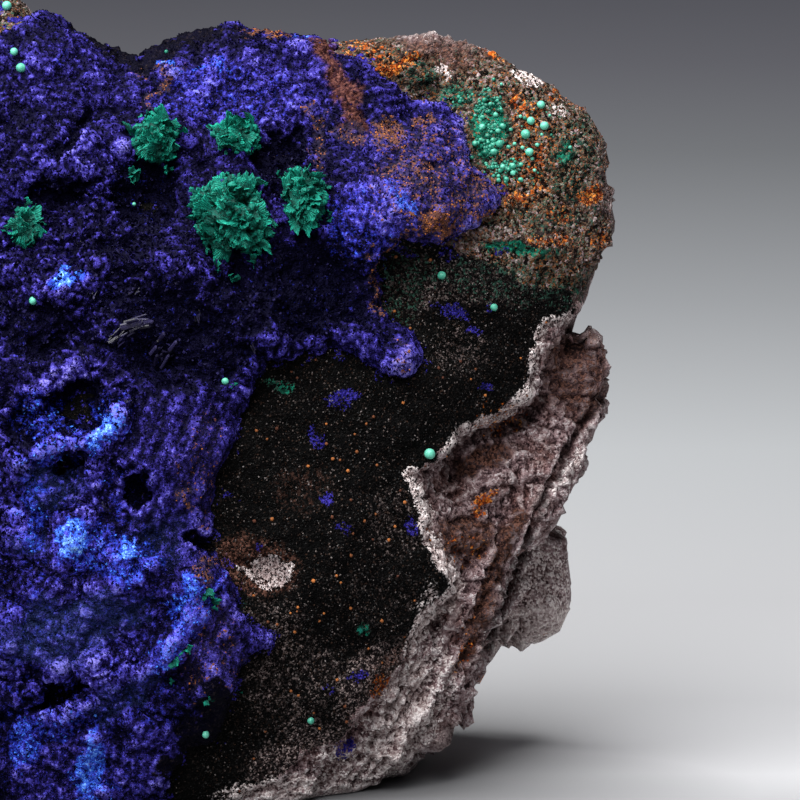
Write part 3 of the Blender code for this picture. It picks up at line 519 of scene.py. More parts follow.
HALO_MARKS = (
    Blot(9, 30.9, 4.2, 3.2, -12, 0.95), Blot(5.6, 32.6, 2.4, 2.4, 0, 0.9), Blot(24, 63, 4, 3.5, 0, 0.2),
    Blot(14, 41, 4, 3, 0, 0.2), Blot(26, 18, 5, 3, 50, 0.3), Blot(34.6, 34.8, 4.2, 2.8, 0, 0.7),
    Trail(((41.2, 37.5), (38.7, 31.9), (36.2, 24.8), (34.6, 20.4)), 0.9, 0.8), Blot(36.4, 44.4, 4.2, 1.6, 20, 0.75),
    Blot(48.6, 55, 4.4, 6, 0, 0.6), Blot(37.5, 24, 1.2, 4, -10, 0.6), Blot(31.5, 95.2, 5, 2.2, -10, 0.5),
)
FROST_MARKS = (
    Blot(26, 36.5, 5, 5, 0, 0.4), Blot(20, 39.5, 2.5, 1.5, 0, 0.3), Blot(28, 66, 4, 4, 0, 0.6),
    Blot(24, 16, 7, 5, 40, 0.9), Blot(16, 7, 9, 4, 10, 0.9), Blot(14, 16, 8, 7, 0, 0.45),
    Blot(34, 58, 4, 4, 0, 0.4), Blot(36, 66.5, 9, 3, -8, 0.6),
    Blot(10, 24, 5, 3, 0, 0.5), Blot(24, 27, 6, 5, 0, 0.3),
)
GRIT_MARKS = (
    Blot(40, 84, 14, 14.5, 0, 1), Blot(47, 72, 8, 5.5, 0, 0.95), Blot(28, 92, 6, 4, -10, 1),
    Blot(36, 74, 8, 4, 0, 0.8), Blot(42, 68.5, 9, 3.4, -12, 1), Blot(-22, 100, 9, 6, 0, 1),
    Blot(-8, 95, 9, 2, 10, 1), Blot(22.5, 95.5, 5, 3, 0, 1),
)
BED_MARKS = (
    Blot(37.4, 86.4, 1.7, 3.8, 0, 1), Blot(39.2, 80.6, 2, 2, 0, 0.7),
    Blot(33.6, 89.8, 2.2, 1, 0, 0.4), Blot(41, 83.5, 4.5, 6, 0, 0.02),
)
STRIA_MARKS = (
    Blot(36, 24, 14, 6, 62, 1), Blot(28, 10, 10, 6, 50, 1),
)
STREAM_MARKS = (
    Blot(-2, 43, 8, 10.5, 0, 1), Blot(-0.6, 23.4, 11, 3, 52, 1),
    Blot(2, 20, 5, 8, 0, 0.7),
)
LUMP_MARKS = (
    Blot(-15, 70, 12, 13, 0, 1), Blot(5, 62, 14, 9, 0, 0.9),
    Blot(-16, 48, 10, 12, 0, 0.8), Blot(-14, 20, 10, 8, 0, 0.7),
    Blot(12, 80, 5, 5, 0, 0.7), Blot(-32, 50, 14, 45, 0, 0.8),
)


# ---- meshes


@dataclass
class Shell:
    """A mesh as arrays: points in millimetres, their outward normals, triangles and edges."""

    points: Array
    normals: Array
    triangles: Array
    edges: Array

    @classmethod
    def of(cls, mesh: Mesh) -> "Shell":
        """Reads a mesh into arrays.

        Args:
            mesh: the mesh, in metres.

        Returns:
            Its shell, in millimetres.
        """
        count = len(mesh.vertices)
        points, normals = np.zeros(count * 3), np.zeros(count * 3)
        mesh.vertices.foreach_get("co", points)
        mesh.vertex_normals.foreach_get("vector", normals)
        mesh.calc_loop_triangles()
        triangles = np.zeros(len(mesh.loop_triangles) * 3, np.int64)
        mesh.loop_triangles.foreach_get("vertices", triangles)
        edges = np.zeros(len(mesh.edges) * 2, np.int64)
        mesh.edges.foreach_get("vertices", edges)
        return cls(points.reshape(-1, 3) / MM, normals.reshape(-1, 3),
                   triangles.reshape(-1, 3), edges.reshape(-1, 2))

    def relaxed(self, rounds: int, strength: float = 0.5) -> Array:
        """Moves each point towards the mean of its neighbours.

        Args:
            rounds: how often.
            strength: the share of the way each time.

        Returns:
            The smoothed points.
        """
        count = len(self.points)
        ends = np.concatenate((self.edges, self.edges[:, ::-1]))
        number = np.maximum(np.bincount(ends[:, 0], minlength=count), 1)
        points = self.points.copy()
        for _ in range(rounds):
            mean = np.stack([
                np.bincount(ends[:, 0], points[ends[:, 1], axis], minlength=count) / number
                for axis in range(3)
            ], axis=1)
            points += strength * (mean - points)
        return points

    def raised(self, rounds: int) -> Array:
        """Measures how far each point stands above the smoothed surface, in millimetres along its normal."""
        return np.einsum("ij,ij->i", self.points - self.relaxed(rounds), self.normals)

    def scattered(self, weight: Array, count: int, rng: np.random.Generator,
                  ) -> tuple[Array, Array]:
        """Draws points over the surface, the denser where the weight is high.

        Args:
            weight: one number a vertex, 0 for none.
            count: how many points.
            rng: the seeded generator.

        Returns:
            The points and the unit normals there.
        """
        corners = self.points[self.triangles]
        area = np.linalg.norm(np.cross(corners[:, 1] - corners[:, 0], corners[:, 2] - corners[:, 0]), axis=1)
        chance = area * weight[self.triangles].mean(axis=1)
        chosen = rng.choice(len(chance), size=count, p=chance / chance.sum())
        share = rng.dirichlet((1.0, 1.0, 1.0), size=count)[:, :, None]
        place = (corners[chosen] * share).sum(axis=1)
        normal = (self.normals[self.triangles[chosen]] * share).sum(axis=1)
        return place, normal / np.maximum(np.linalg.norm(normal, axis=1, keepdims=True), 1e-9)


def mesh_of(name: str, points: Array, triangles: Array, smooth: bool) -> Mesh:
    """Makes a mesh from arrays.

    Args:
        name: its name.
        points: millimetres, one row each.
        triangles: rows of three point numbers, counter-clockwise seen from outside.
        smooth: True for rounded shading.

    Returns:
        The mesh, in metres.
    """
    mesh = bpy.data.meshes.new(name)
    mesh.vertices.add(len(points))
    mesh.vertices.foreach_set("co", (points * MM).ravel())
    mesh.loops.add(triangles.size)
    mesh.loops.foreach_set("vertex_index", triangles.ravel())
    mesh.polygons.add(len(triangles))
    mesh.polygons.foreach_set("loop_start", np.arange(0, triangles.size, 3))
    mesh.update(calc_edges=True)
    mesh.polygons.foreach_set("use_smooth", np.full(len(triangles), smooth))
    return mesh


def add_marks(mesh: Mesh, marks: dict[str, Array]) -> None:
    """Stores numbers on the mesh's points for its finish to read.

    Args:
        mesh: the mesh.
        marks: one array of numbers between 0 and 1 for each name.
    """
    for name, values in marks.items():
        attribute = mesh.attributes.new(name, "FLOAT", "POINT")
        attribute.data.foreach_set("value", values.astype(np.float32))


def show(name: str, mesh: Mesh, finish: Material,
         nodes: tuple[str, ...] = ()) -> Object:
    """Puts a finished mesh into the scene as a piece of the part.

    Args:
        name: the piece's name.
        mesh: its mesh, in place.
        finish: its material.
        nodes: the CAD nodes that it stands for.

    Returns:
        The piece.
    """
    mesh.materials.clear()
    mesh.materials.append(finish)
    piece = bpy.data.objects.new(name, mesh)
    bpy.context.scene.collection.objects.link(piece)
    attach(piece, BODY)
    if nodes:
        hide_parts(*nodes)
    LOG.info("%s: %d faces", name, len(mesh.polygons))
    return piece


def settled(node: str, cell: float) -> Mesh:
    """Copies a node's solid, joins its loose triangles and lays an even net of cells over it.

    Args:
        node: the CAD node's name.
        cell: the net's spacing in millimetres.

    Returns:
        The new mesh, whose points are about a cell apart.
    """
    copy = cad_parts[node].data.copy()
    work = bmesh.new()
    work.from_mesh(copy)
    bmesh.ops.remove_doubles(work, verts=work.verts, dist=1e-6)
    work.to_mesh(copy)
    work.free()
    return modified(copy, "REMESH", mode="VOXEL", voxel_size=cell * MM)


def modified(mesh: Mesh, kind: str, weights: Array | None = None,
             **settings: object) -> Mesh:
    """Runs one modifier over a mesh.

    Args:
        mesh: the mesh, which is removed.
        kind: the modifier's type.
        weights: one number a point for a vertex group that the modifier reads, or None.
        settings: the modifier's settings.

    Returns:
        The changed mesh.
    """
    holder = bpy.data.objects.new("work", mesh)
    bpy.context.scene.collection.objects.link(holder)
    modifier = holder.modifiers.new("step", kind)
    for key, value in settings.items():
        setattr(modifier, key, value)
    if weights is not None:
        group = holder.vertex_groups.new(name="share")
        levels = np.clip(np.round(weights * GROUP_LEVELS), 0, GROUP_LEVELS).astype(int)
        for level in np.unique(levels).tolist():
            group.add(np.flatnonzero(levels == level).tolist(), level / GROUP_LEVELS, "REPLACE")
        modifier.vertex_group = "share"
    evaluated = holder.evaluated_get(bpy.context.evaluated_depsgraph_get())
    made = bpy.data.meshes.new_from_object(evaluated)
    bpy.data.objects.remove(holder)
    bpy.data.meshes.remove(mesh)
    return made


def thinned(mesh: Mesh, limit: int, spare: Array) -> Mesh:
    """Brings a mesh down to a number of triangles.

    Args:
        mesh: the mesh, which is removed.
        limit: the most triangles that it may have.
        spare: a number between 0 and 1 a point, high where most of them are taken.

    Returns:
        The thinned mesh.
    """
    triangles = sum(len(face.vertices) - 2 for face in mesh.polygons)
    if triangles <= limit:
        return mesh
    return modified(mesh, "DECIMATE", spare, ratio=limit / triangles, vertex_group_factor=1.0)


def relaid(mesh: Mesh, points: Array, lowest: float, limit: int, spare: Array,
           ) -> tuple[Mesh, Shell]:
    """Gives a net its roughened points and thins it.

    Args:
        mesh: the net, which is removed.
        points: its new points in millimetres.
        lowest: the height in millimetres that none goes below.
        limit: the most triangles that it may have.
        spare: a number between 0 and 1 a point, high where most of them are taken.

    Returns:
        The finished mesh, shaded as round, and its shell.
    """
    points[:, 2] = np.maximum(points[:, 2], lowest)
    mesh.vertices.foreach_set("co", (points * MM).ravel())
    mesh.update()
    mesh = thinned(mesh, limit, spare)
    mesh.polygons.foreach_set("use_smooth", np.full(len(mesh.polygons), True))
    return mesh, Shell.of(mesh)


def strewn(places: Array, axes: Array, sizes: Array, template: Array,
           faces: Array, tilt: float, rng: np.random.Generator) -> tuple[Array, Array]:
    """Sets one copy of a small shape at each place, turned and scaled on its own.

    Each copy's axis is the given one plus tilt times a random direction, and it is spun about it.

    Args:
        places: where, one row each.
        axes: the unit direction that the shape's own z takes there.
        sizes: rows of the scales along the shape's x, y and z.
        template: the shape's points.
        faces: the shape's triangles.
        tilt: how far the axes stray.
        rng: the seeded generator.

    Returns:
        The points and the triangles of all copies.
    """
    count = len(places)
    along = unit(axes + tilt * rng.normal(size=(count, 3)))
    side = unit(np.cross(along, rng.normal(size=(count, 3))))
    turned = np.stack((side, np.cross(along, side), along), axis=1)
    points = np.einsum("nki,nij->nkj", template[None] * sizes[:, None, :], turned) + places[:, None]
    offsets = (np.arange(count) * len(template))[:, None, None]
    return points.reshape(-1, 3), (faces[None] + offsets).reshape(-1, 3)


WEDGE_POINTS = np.array((
    (-0.5, -0.36, -0.3), (0.5, -0.36, -0.3), (0.5, 0.36, -0.3), (-0.5, 0.36, -0.3),
    (-0.3, 0.05, 0.7), (0.34, -0.05, 0.7),
))
WEDGE_FACES = np.array((
    (0, 2, 1), (0, 3, 2), (0, 1, 5), (0, 5, 4), (1, 2, 5), (2, 3, 4), (2, 4, 5), (3, 0, 4),
))
GRAIN_POINTS = np.array((
    (0.5, 0.0, 0.0), (0.0, 0.5, 0.0), (-0.5, 0.0, 0.0), (0.0, -0.5, 0.0), (0.0, 0.0, 0.5), (0.0, 0.0, -0.5),
))
GRAIN_FACES = np.array((
    (0, 1, 4), (1, 2, 4), (2, 3, 4), (3, 0, 4), (1, 0, 5), (2, 1, 5), (3, 2, 5), (0, 3, 5),
))


def ball(rings: int, sectors: int) -> tuple[Array, Array]:
    """Makes a unit ball: rings of latitude by sectors, with one point at each pole.

    Args:
        rings: how many rings of points between the poles.
        sectors: how many points in a ring.

    Returns:
        Its points and triangles.
    """
    height = np.linspace(0.0, math.pi, rings + 2)[1:-1][:, None]
    bearing = np.linspace(0.0, 2.0 * math.pi, sectors, endpoint=False)[None]
    body = np.stack((
        np.sin(height) * np.cos(bearing), np.sin(height) * np.sin(bearing),
        np.cos(height) * np.ones_like(bearing),
    ), axis=-1).reshape(-1, 3)
    points = np.concatenate((body, ((0.0, 0.0, 1.0), (0.0, 0.0, -1.0))))
    here = np.arange(sectors)
    following = (here + 1) % sectors
    top, bottom = len(body), len(body) + 1
    last = (rings - 1) * sectors
    faces = [np.stack((np.full(sectors, top), here, following), axis=1),
             np.stack((np.full(sectors, bottom), last + following, last + here), axis=1)]
    for ring in range(rings - 1):
        a, b = ring * sectors + here, ring * sectors + following
        faces += [np.stack((a, a + sectors, b), axis=1),
                  np.stack((b, a + sectors, b + sectors), axis=1)]
    return points, np.concatenate(faces)


# ---- finishes


def linear(colour: str) -> tuple[float, float, float, float]:
    """Turns an sRGB hex colour to linear values."""
    parts = [int(colour[k:k + 2], 16) / 255.0 for k in (0, 2, 4)]
    return (*[p / 12.92 if p <= 0.04045 else ((p + 0.055) / 1.055) ** 2.4 for p in parts], 1.0)


def add_node(tree: NodeTree, kind: str, inputs: dict | None = None,
             **settings: object) -> Node:
    """Adds a node to a material.

    Args:
        tree: the material's nodes.
        kind: the node's type, without ShaderNode.
        inputs: a value or another node's output for each input, by name or number.
        settings: the node's own settings.

    Returns:
        The node.
    """
    made = tree.nodes.new("ShaderNode" + kind)
    for key, value in settings.items():
        setattr(made, key, value)
    for key, value in (inputs or {}).items():
        if isinstance(value, NodeSocket):
            tree.links.new(value, made.inputs[key])
        else:
            made.inputs[key].default_value = value
    return made


class Finish:
    """One material's nodes while they are put together."""

    def __init__(self, name: str) -> None:
        """Starts an empty material whose patterns read Object coordinates.

        Args:
            name: the real material's name.
        """
        self.material = bpy.data.materials.new(name)
        self.material.use_nodes = True
        self.tree = self.material.node_tree
        self.tree.nodes.clear()
        self.place = add_node(self.tree, "TexCoord").outputs["Object"]

    def noise(self, size: float, detail: float = 2.0, roughness: float = 0.5) -> NodeSocket:
        """Gives noise whose swells are size millimetres apart."""
        sockets = {"Vector": self.place, "Scale": 1.0 / (size * MM), "Detail": detail, "Roughness": roughness}
        return add_node(self.tree, "TexNoise", sockets).outputs["Fac"]

    def crumbs(self, size: float) -> tuple[NodeSocket, NodeSocket]:
        """Divides the surface into ragged grains.

        Args:
            size: the grains' width in millimetres.

        Returns:
            A number for each grain, bell-shaped about a half, and the distance from its middle.
        """
        stir = add_node(self.tree, "TexNoise", {
            "Vector": self.place, "Scale": 1.0 / (0.8 * size * MM), "Detail": 1.0})
        bent = add_node(self.tree, "VectorMath", {
            0: stir.outputs["Color"], 1: (size * MM,) * 3, 2: self.place}, operation="MULTIPLY_ADD")
        made = add_node(self.tree, "TexVoronoi", {
            "Vector": bent.outputs[0], "Scale": 1.0 / (size * MM)})
        return made.outputs["Color"], made.outputs["Distance"]

    def mark(self, name: str) -> NodeSocket:
        """Reads one of the mesh's own numbers."""
        return add_node(self.tree, "Attribute", attribute_name=name).outputs["Fac"]

    def sum(self, *terms: tuple[NodeSocket, float], start: float = 0.0) -> NodeSocket:
        """Adds up sockets, each times its own factor.

        Args:
            terms: pairs of a socket and its factor.
            start: what they are added to.

        Returns:
            The sum.
        """
        total: NodeSocket | float = start
        for socket, factor in terms:
            total = add_node(self.tree, "Math", {0: socket, 1: factor, 2: total},
                             operation="MULTIPLY_ADD").outputs[0]
        return total

    def product(self, first: NodeSocket, second: NodeSocket | float,
                ) -> NodeSocket:
        """Multiplies two values."""
        return add_node(self.tree, "Math", {0: first, 1: second}, operation="MULTIPLY").outputs[0]

    def step(self, value: NodeSocket, low: float, high: float, start: float = 0.0,
             end: float = 1.0) -> NodeSocket:
        """Turns a value from low to high into one from start to end, clamped."""
        sockets = {"Value": value, "From Min": low, "From Max": high, "To Min": start, "To Max": end}
        return add_node(self.tree, "MapRange", sockets).outputs[0]

    def scattered(self, mark: NodeSocket, crumb: NodeSocket,
                  cloud: NodeSocket) -> NodeSocket:
        """Picks out grains in clumps: none where the mark is 0, nearly all where it is 1."""
        chosen = self.step(self.sum((mark, 0.5), (crumb, 0.6), (cloud, 0.8)), 0.97, 1.03)
        return self.product(chosen, self.step(mark, 0.03, 0.12))

    def ramp(self, value: NodeSocket, *stops: tuple[float, str],
             stepped: bool = False) -> NodeSocket:
        """Turns a value to a colour.

        Args:
            value: the value.
            stops: pairs of a place from 0 to 1 and a hex colour, in order.
            stepped: True for sharp steps from colour to colour.

        Returns:
            The colour.
        """
        made = add_node(self.tree, "ValToRGB", {"Fac": value})
        made.color_ramp.interpolation = "CONSTANT" if stepped else "LINEAR"
        elements = made.color_ramp.elements
        elements[0].position, elements[0].color = stops[0][0], linear(stops[0][1])
        elements[1].position, elements[1].color = stops[-1][0], linear(stops[-1][1])
        for place, colour in stops[1:-1]:
            elements.new(place).color = linear(colour)
        return made.outputs["Color"]

    def blend(self, share: NodeSocket, below: NodeSocket,
              above: NodeSocket | str) -> NodeSocket:
        """Lays a colour over another by a share."""
        colours = {6: below, 7: linear(above) if isinstance(above, str) else above}
        return add_node(self.tree, "Mix", {0: share, **colours}, data_type="RGBA").outputs[2]

    def bump(self, height: NodeSocket, depth: float) -> NodeSocket:
        """Gives a normal bent by a height pattern that is depth millimetres deep."""
        return add_node(self.tree, "Bump", {"Height": height, "Distance": depth * MM}).outputs["Normal"]

    def done(self, colour: NodeSocket, **inputs: object) -> Material:
        """Closes the material with its shader.

        Args:
            colour: the base colour.
            inputs: other sockets of the shader, with _ for a space in the name.

        Returns:
            The material.
        """
        sockets = {"Base Color": colour}
        sockets.update({key.replace("_", " "): value for key, value in inputs.items()})
        shader = add_node(self.tree, "BsdfPrincipled", sockets)
        add_node(self.tree, "OutputMaterial", {"Surface": shader.outputs[0]})
        return self.material


@dataclass(frozen=True)
class HostRockFinish:
    """Weathered felsic host rock with a manganese oxide skin: dull, crumbly mauve grain where it is
    broken, many-coloured grit in the upper right, and a black coat with a fine sparkle in front."""

    grain: float = 0.28
    grit: float = 0.4
    soot: float = 0.2
    bump_depth: float = 0.3
    black: str = "030303"
    rust: str = "B5581C"
    green: str = "17745C"
    dull_green: str = "2C4A3E"
    blue: str = "383090"

    def _stone(self, made: Finish, of: dict[str, NodeSocket]) -> NodeSocket:
        """Mixes the broken stone: mauve grains with painted highlights where they stand up and painted shade between,
        in clouds of iron brown.

        Args:
            made: the material.
            of: its patterns and marks by name.

        Returns:
            The colour.
        """
        # Painted light and shade: the marks of what stands above the smoothed surface lighten bumps and darken creases.
        tone = made.sum((of["crumb"], 0.5), (of["fine"], 0.55), (of["pale"], 0.2), (of["high"], 0.2),
                        (of["proud_painted_light"], 0.24), (of["cloud"], 0.25), (of["dust"], 0.2), start=-0.48)
        mauve = made.ramp(tone, (0.2, "281C1E"), (0.36, "584446"), (0.5, "836A6B"), (0.66, "A89495"), (0.84, "D0C6C6"))
        brown = made.ramp(made.sum((of["crumb"], 0.6), (of["fine"], 0.4)), (0.35, "2C1613"), (0.65, "6C4234"))
        return made.blend(made.step(of["cloud"], 0.46, 0.64, 0.0, 0.55), mauve, brown)

    def _pebbles(self, made: Finish, of: dict[str, NodeSocket]) -> NodeSocket:
        """Gives each pebble of the grit its own colour: black, brown, orange, green or pale mauve.

        Args:
            made: the material.
            of: its patterns and marks by name.

        Returns:
            The colour.
        """
        pick = made.sum((of["grit"], 0.75), (of["crumb"], 0.35), (of["dust"], 0.12), start=-0.1)
        return made.ramp(
            pick, (0.0, "0A0806"), (0.38, "30231C"), (0.43, "604838"), (0.48, "3D3428"), (0.53, "8C5028"),
            (0.56, "66564C"), (0.6, "315242"), (0.65, "80594A"), (0.69, "6C7062"), (0.74, "90777A"),
            (0.84, "B4A6A2"), stepped=True)

    def _coat(self, made: Finish, of: dict[str, NodeSocket]) -> NodeSocket:
        """Mixes the black skin: soot with few pale specks, dusted over where the frost mark is.

        Args:
            made: the material.
            of: its patterns and marks by name.

        Returns:
            The colour.
        """
        speck = made.sum((of["soot"], 1.0), (of["frost"], 0.13), (of["fine"], 0.25), (of["dust"], 0.2), start=-0.22)
        coat = made.ramp(speck, (0.0, self.black), (0.66, "050404"), (0.77, "0C0908"), (0.84, "1A1310"),
                         (0.93, "342D2A"), (1.0, "7C7472"), stepped=True)
        dusting = made.ramp(made.sum((of["crumb"], 0.5), (of["soot"], 0.5)),
                            (0.42, "140F0F"), (0.56, "3C3030"), (0.72, "92827E"))
        dusted = made.step(made.sum((of["frost"], 0.7), (of["fine"], 0.9), (of["crumb"], 0.4)), 0.95, 1.3)
        return made.blend(made.product(dusted, made.step(of["frost"], 0.05, 0.4)), coat, dusting)

    def _stained(self, made: Finish, of: dict[str, NodeSocket],
                 colour: NodeSocket) -> NodeSocket:
        """Lays the stains over the rock: brown haloes, pale rims, rust, green and blue grains, dark cracks.

        Args:
            made: the material.
            of: its patterns and marks by name.
            colour: the rock's colour.

        Returns:
            The colour.
        """
        crumb, fine, grit, halo, pale = of["crumb"], of["fine"], of["grit"], of["halo"], of["pale"]
        brown = made.step(made.sum((halo, 0.8), (fine, 0.9), (crumb, 0.5)), 0.85, 1.35)
        colour = made.blend(made.product(brown, made.step(halo, 0.0, 0.3)), colour,
                            made.ramp(crumb, (0.3, "1A0E0B"), (0.55, "3F271F"), (0.75, "68473C")))
        frayed = made.step(made.sum((pale, 1.0), (crumb, 0.8), (fine, 0.5), start=-0.66), 0.45, 0.6)
        # Painted light and shade: the pale rims are lighter where they stand up and darker in creases.
        tone = made.sum((crumb, 0.45), (fine, 0.35), (of["dust"], 0.3), (of["high"], 0.16), (of["proud_painted_light"], 0.16),
                        start=-0.21)
        colour = made.blend(made.product(frayed, made.step(pale, 0.05, 0.4)), colour,
                            made.ramp(tone, (0.22, "42312F"), (0.38, "8E7A78"), (0.55, "C4B3B0"), (0.75, "F2E8E5")))
        rust = made.ramp(grit, (0.35, "6A2A10"), (0.6, self.rust), (0.75, "D88A3C"))
        green = made.blend(made.step(of["green"], 0.45, 0.75),
                           made.ramp(grit, (0.35, "14231D"), (0.65, self.dull_green)),
                           made.ramp(grit, (0.35, "0B3A2E"), (0.65, self.green)))
        blue = made.ramp(of["soot"], (0.35, "1A1660"), (0.65, self.blue))
        for name, tint in (("rust", rust), ("green", green), ("blue", blue)):
            colour = made.blend(made.scattered(of[name], crumb, fine), colour, tint)
        return made.blend(made.step(of["groove"], 0.1, 1.0, 0.0, 0.8), colour, "090606")

    def material(self) -> Material:
        """Mixes the broken rock, the grit, the skin and the stains by the mesh's marks, grain by grain.

        Returns:
            The material.
        """
        made = Finish("weathered_host_rock_manganese_skin")
        of = {name: made.mark(name) for name in (
            "skin", "groove", "rust", "pale", "green", "blue", "grit", "frost", "halo", "top", "high", "proud_painted_light")}
        gritty = of["grit"]
        of["crumb"], middle = made.crumbs(self.grain)
        of["grit"], grit_middle = made.crumbs(self.grit)
        of["soot"], _ = made.crumbs(self.soot)
        of["cloud"], of["fine"], of["dust"] = made.noise(5.0, 3.0), made.noise(0.9, 3.0, 0.65), made.noise(0.22, 1.0)
        colour = made.blend(gritty, self._stone(made, of), self._pebbles(made, of))
        # Painted shade: faces that look up are darkened towards dark brown, and so are the random smoky clouds on the
        # back.
        colour = made.blend(made.product(of["top"], 0.45), colour, "2A1E1A")
        skin = made.step(made.sum((of["skin"], 1.0), (of["crumb"], 0.9), (of["fine"], 0.5), start=-0.7), 0.46, 0.54)
        colour = self._stained(made, of, made.blend(skin, colour, self._coat(made, of)))
        height = made.sum((middle, -0.6), (grit_middle, -0.5), (of["fine"], 0.5))
        return made.done(colour, Roughness=made.step(of["soot"], 0.45, 0.7, 0.9, 0.5), Specular_IOR_Level=0.06,
                         Normal=made.bump(height, self.bump_depth))


@dataclass(frozen=True)
class AzuriteFinish:
    """Azurite as a velvet of tiny crystals: deep violet-blue that scatters light from many facets,
    with painted shade that makes it nearly black in the hollows, and sky blue where the crystals are finest."""

    grain: float = 0.3
    bump_depth: float = 0.22
    azure: str = "3E78FF"
    ochre: str = "7A4A24"

    def material(self) -> Material:
        """Colours the crust by its marks, with a salt-and-pepper grain of about 0.2 mm.

        Returns:
            The material.
        """
        made = Finish("azurite_velvet_crust")
        crumb, middle = made.crumbs(self.grain)
        speck, fine, coarse = made.noise(0.2, 1.0), made.noise(0.7, 3.0, 0.6), made.noise(3.0, 3.0)
        azure, ochre, high = made.mark("azure"), made.mark("ochre"), made.mark("high")
        # Painted light and shade: the ridge and lump marks lighten what stands up and darken creases, and the hollow
        # mark darkens the hollows.
        tone = made.sum((made.mark("bright"), 0.26), (high, 0.36), (made.mark("proud_painted_light"), 0.34),
                        (speck, 0.45), (crumb, 0.2), (fine, 0.4), (made.mark("hollow_painted_shade"), -0.4), start=-0.54)
        colour = made.ramp(tone, (0.16, "020206"), (0.37, "0C0A20"), (0.53, "221C5A"), (0.7, "423A98"),
                           (0.92, "8A83D8"))
        slate = made.ramp(made.sum((speck, 0.5), (fine, 0.5)), (0.34, "080C1E"), (0.66, "3A4A7E"))
        colour = made.blend(made.step(made.mark("slate"), 0.1, 1.0, 0.0, 0.55), colour, slate)
        lit = made.sum((azure, 0.35), (speck, 0.25), (fine, 0.45), (crumb, 0.15), (high, 0.08))
        colour = made.blend(made.step(lit, 0.56, 0.86), colour,
                            made.ramp(lit, (0.66, "3340D6"), (0.78, self.azure), (0.9, "8CC4FF")))
        colour = made.blend(made.scattered(ochre, crumb, fine), colour, self.ochre)
        rusty = made.ramp(made.sum((coarse, 0.35), (crumb, 0.65)), (0.3, "1C0E0A"), (0.55, "44251C"), (0.75, "6A4438"))
        colour = made.blend(made.mark("vein"), colour, rusty)
        colour = made.blend(made.step(ochre, 0.05, 0.4, 0.0, 0.45), colour, "3C3444")
        sooty = made.ramp(made.sum((crumb, 0.7), (speck, 0.5), start=-0.1),
                          (0.55, "020202"), (0.72, "0D0A09"), (0.92, "2C2522"))
        colour = made.blend(made.step(made.mark("soot"), 0.25, 0.6), colour, sooty)
        height = made.sum((middle, -0.6), (fine, 0.5))
        return made.done(colour, Roughness=0.6, Specular_IOR_Level=0.1, Specular_Tint=linear("8E84FF"),
                         Normal=made.bump(height, self.bump_depth))


@dataclass(frozen=True)
class DruseFinish:
    """Loose azurite crystals: glassy flat faces, each a little lighter or darker than the next."""

    azure: str = "4C8CFF"
    ochre: str = "80522A"
    slate: str = "2A3868"

    def material(self) -> Material:
        """Colours each crystal by its own tone and the crust's marks where it stands.

        Returns:
            The material.
        """
        made = Finish("azurite_druse_crystals")
        # Painted shade: crystals in the hollows are darkened.
        tone = made.sum((made.mark("tone"), 0.42), (made.mark("bright"), 0.34), (made.mark("hollow_painted_shade"), -0.45),
                        (made.noise(0.9, 3.0), 0.45), start=-0.14)
        colour = made.ramp(tone, (0.16, "04030E"), (0.43, "110D30"), (0.62, "29216A"), (0.82, "5048A6"),
                           (1.0, "A29CE2"))
        for name, tint in (("slate", self.slate), ("azure", self.azure), ("ochre", self.ochre), ("soot", "0A0808")):
            colour = made.blend(made.product(made.mark(name), 0.6), colour, tint)
        return made.done(colour, Roughness=0.35, Specular_IOR_Level=0.16, Specular_Tint=linear("8E84FF"))


@dataclass(frozen=True)
class LathFinish:
    """Larger azurite laths: dark inky blue with a silvery lilac flash off their striated flats."""

    ink: str = "080618"
    lilac: str = "2E2A4C"

    def material(self) -> Material:
        """Clouds the laths and gives them a hard gloss.

        Returns:
            The material.
        """
        made = Finish("azurite_striated_laths")
        colour = made.ramp(made.sum((made.mark("tone"), 0.5), (made.noise(0.5, 2.0), 0.5)),
                           (0.3, self.ink), (0.75, self.lilac))
        return made.done(colour, Roughness=0.28, Specular_IOR_Level=0.28, Normal=made.bump(made.noise(0.18, 1.0), 0.04))


@dataclass(frozen=True)
class OxideFinish:
    """Manganese oxide grains: black with a pinprick glint, a few dusted brown or grey."""

    black: str = "050404"
    brown: str = "33231B"
    grey: str = "6E6664"

    def material(self) -> Material:
        """Colours each grain by its own tone.

        Returns:
            The material.
        """
        made = Finish("manganese_oxide_grains")
        colour = made.ramp(made.mark("tone"), (0.7, self.black), (0.9, self.brown), (1.0, self.grey))
        return made.done(colour, Roughness=0.4, Specular_IOR_Level=0.15)


@dataclass(frozen=True)
class LimoniteFinish:
    """Limonite grains: earthy orange-brown, fully dull."""

    dark: str = "4A2210"
    orange: str = "A8622A"

    def material(self) -> Material:
        """Colours each grain by its own tone.

        Returns:
            The material.
        """
        made = Finish("limonite_grains_earthy")
        colour = made.ramp(made.mark("tone"), (0.1, self.dark), (0.8, self.orange))
        return made.done(colour, Roughness=0.9)


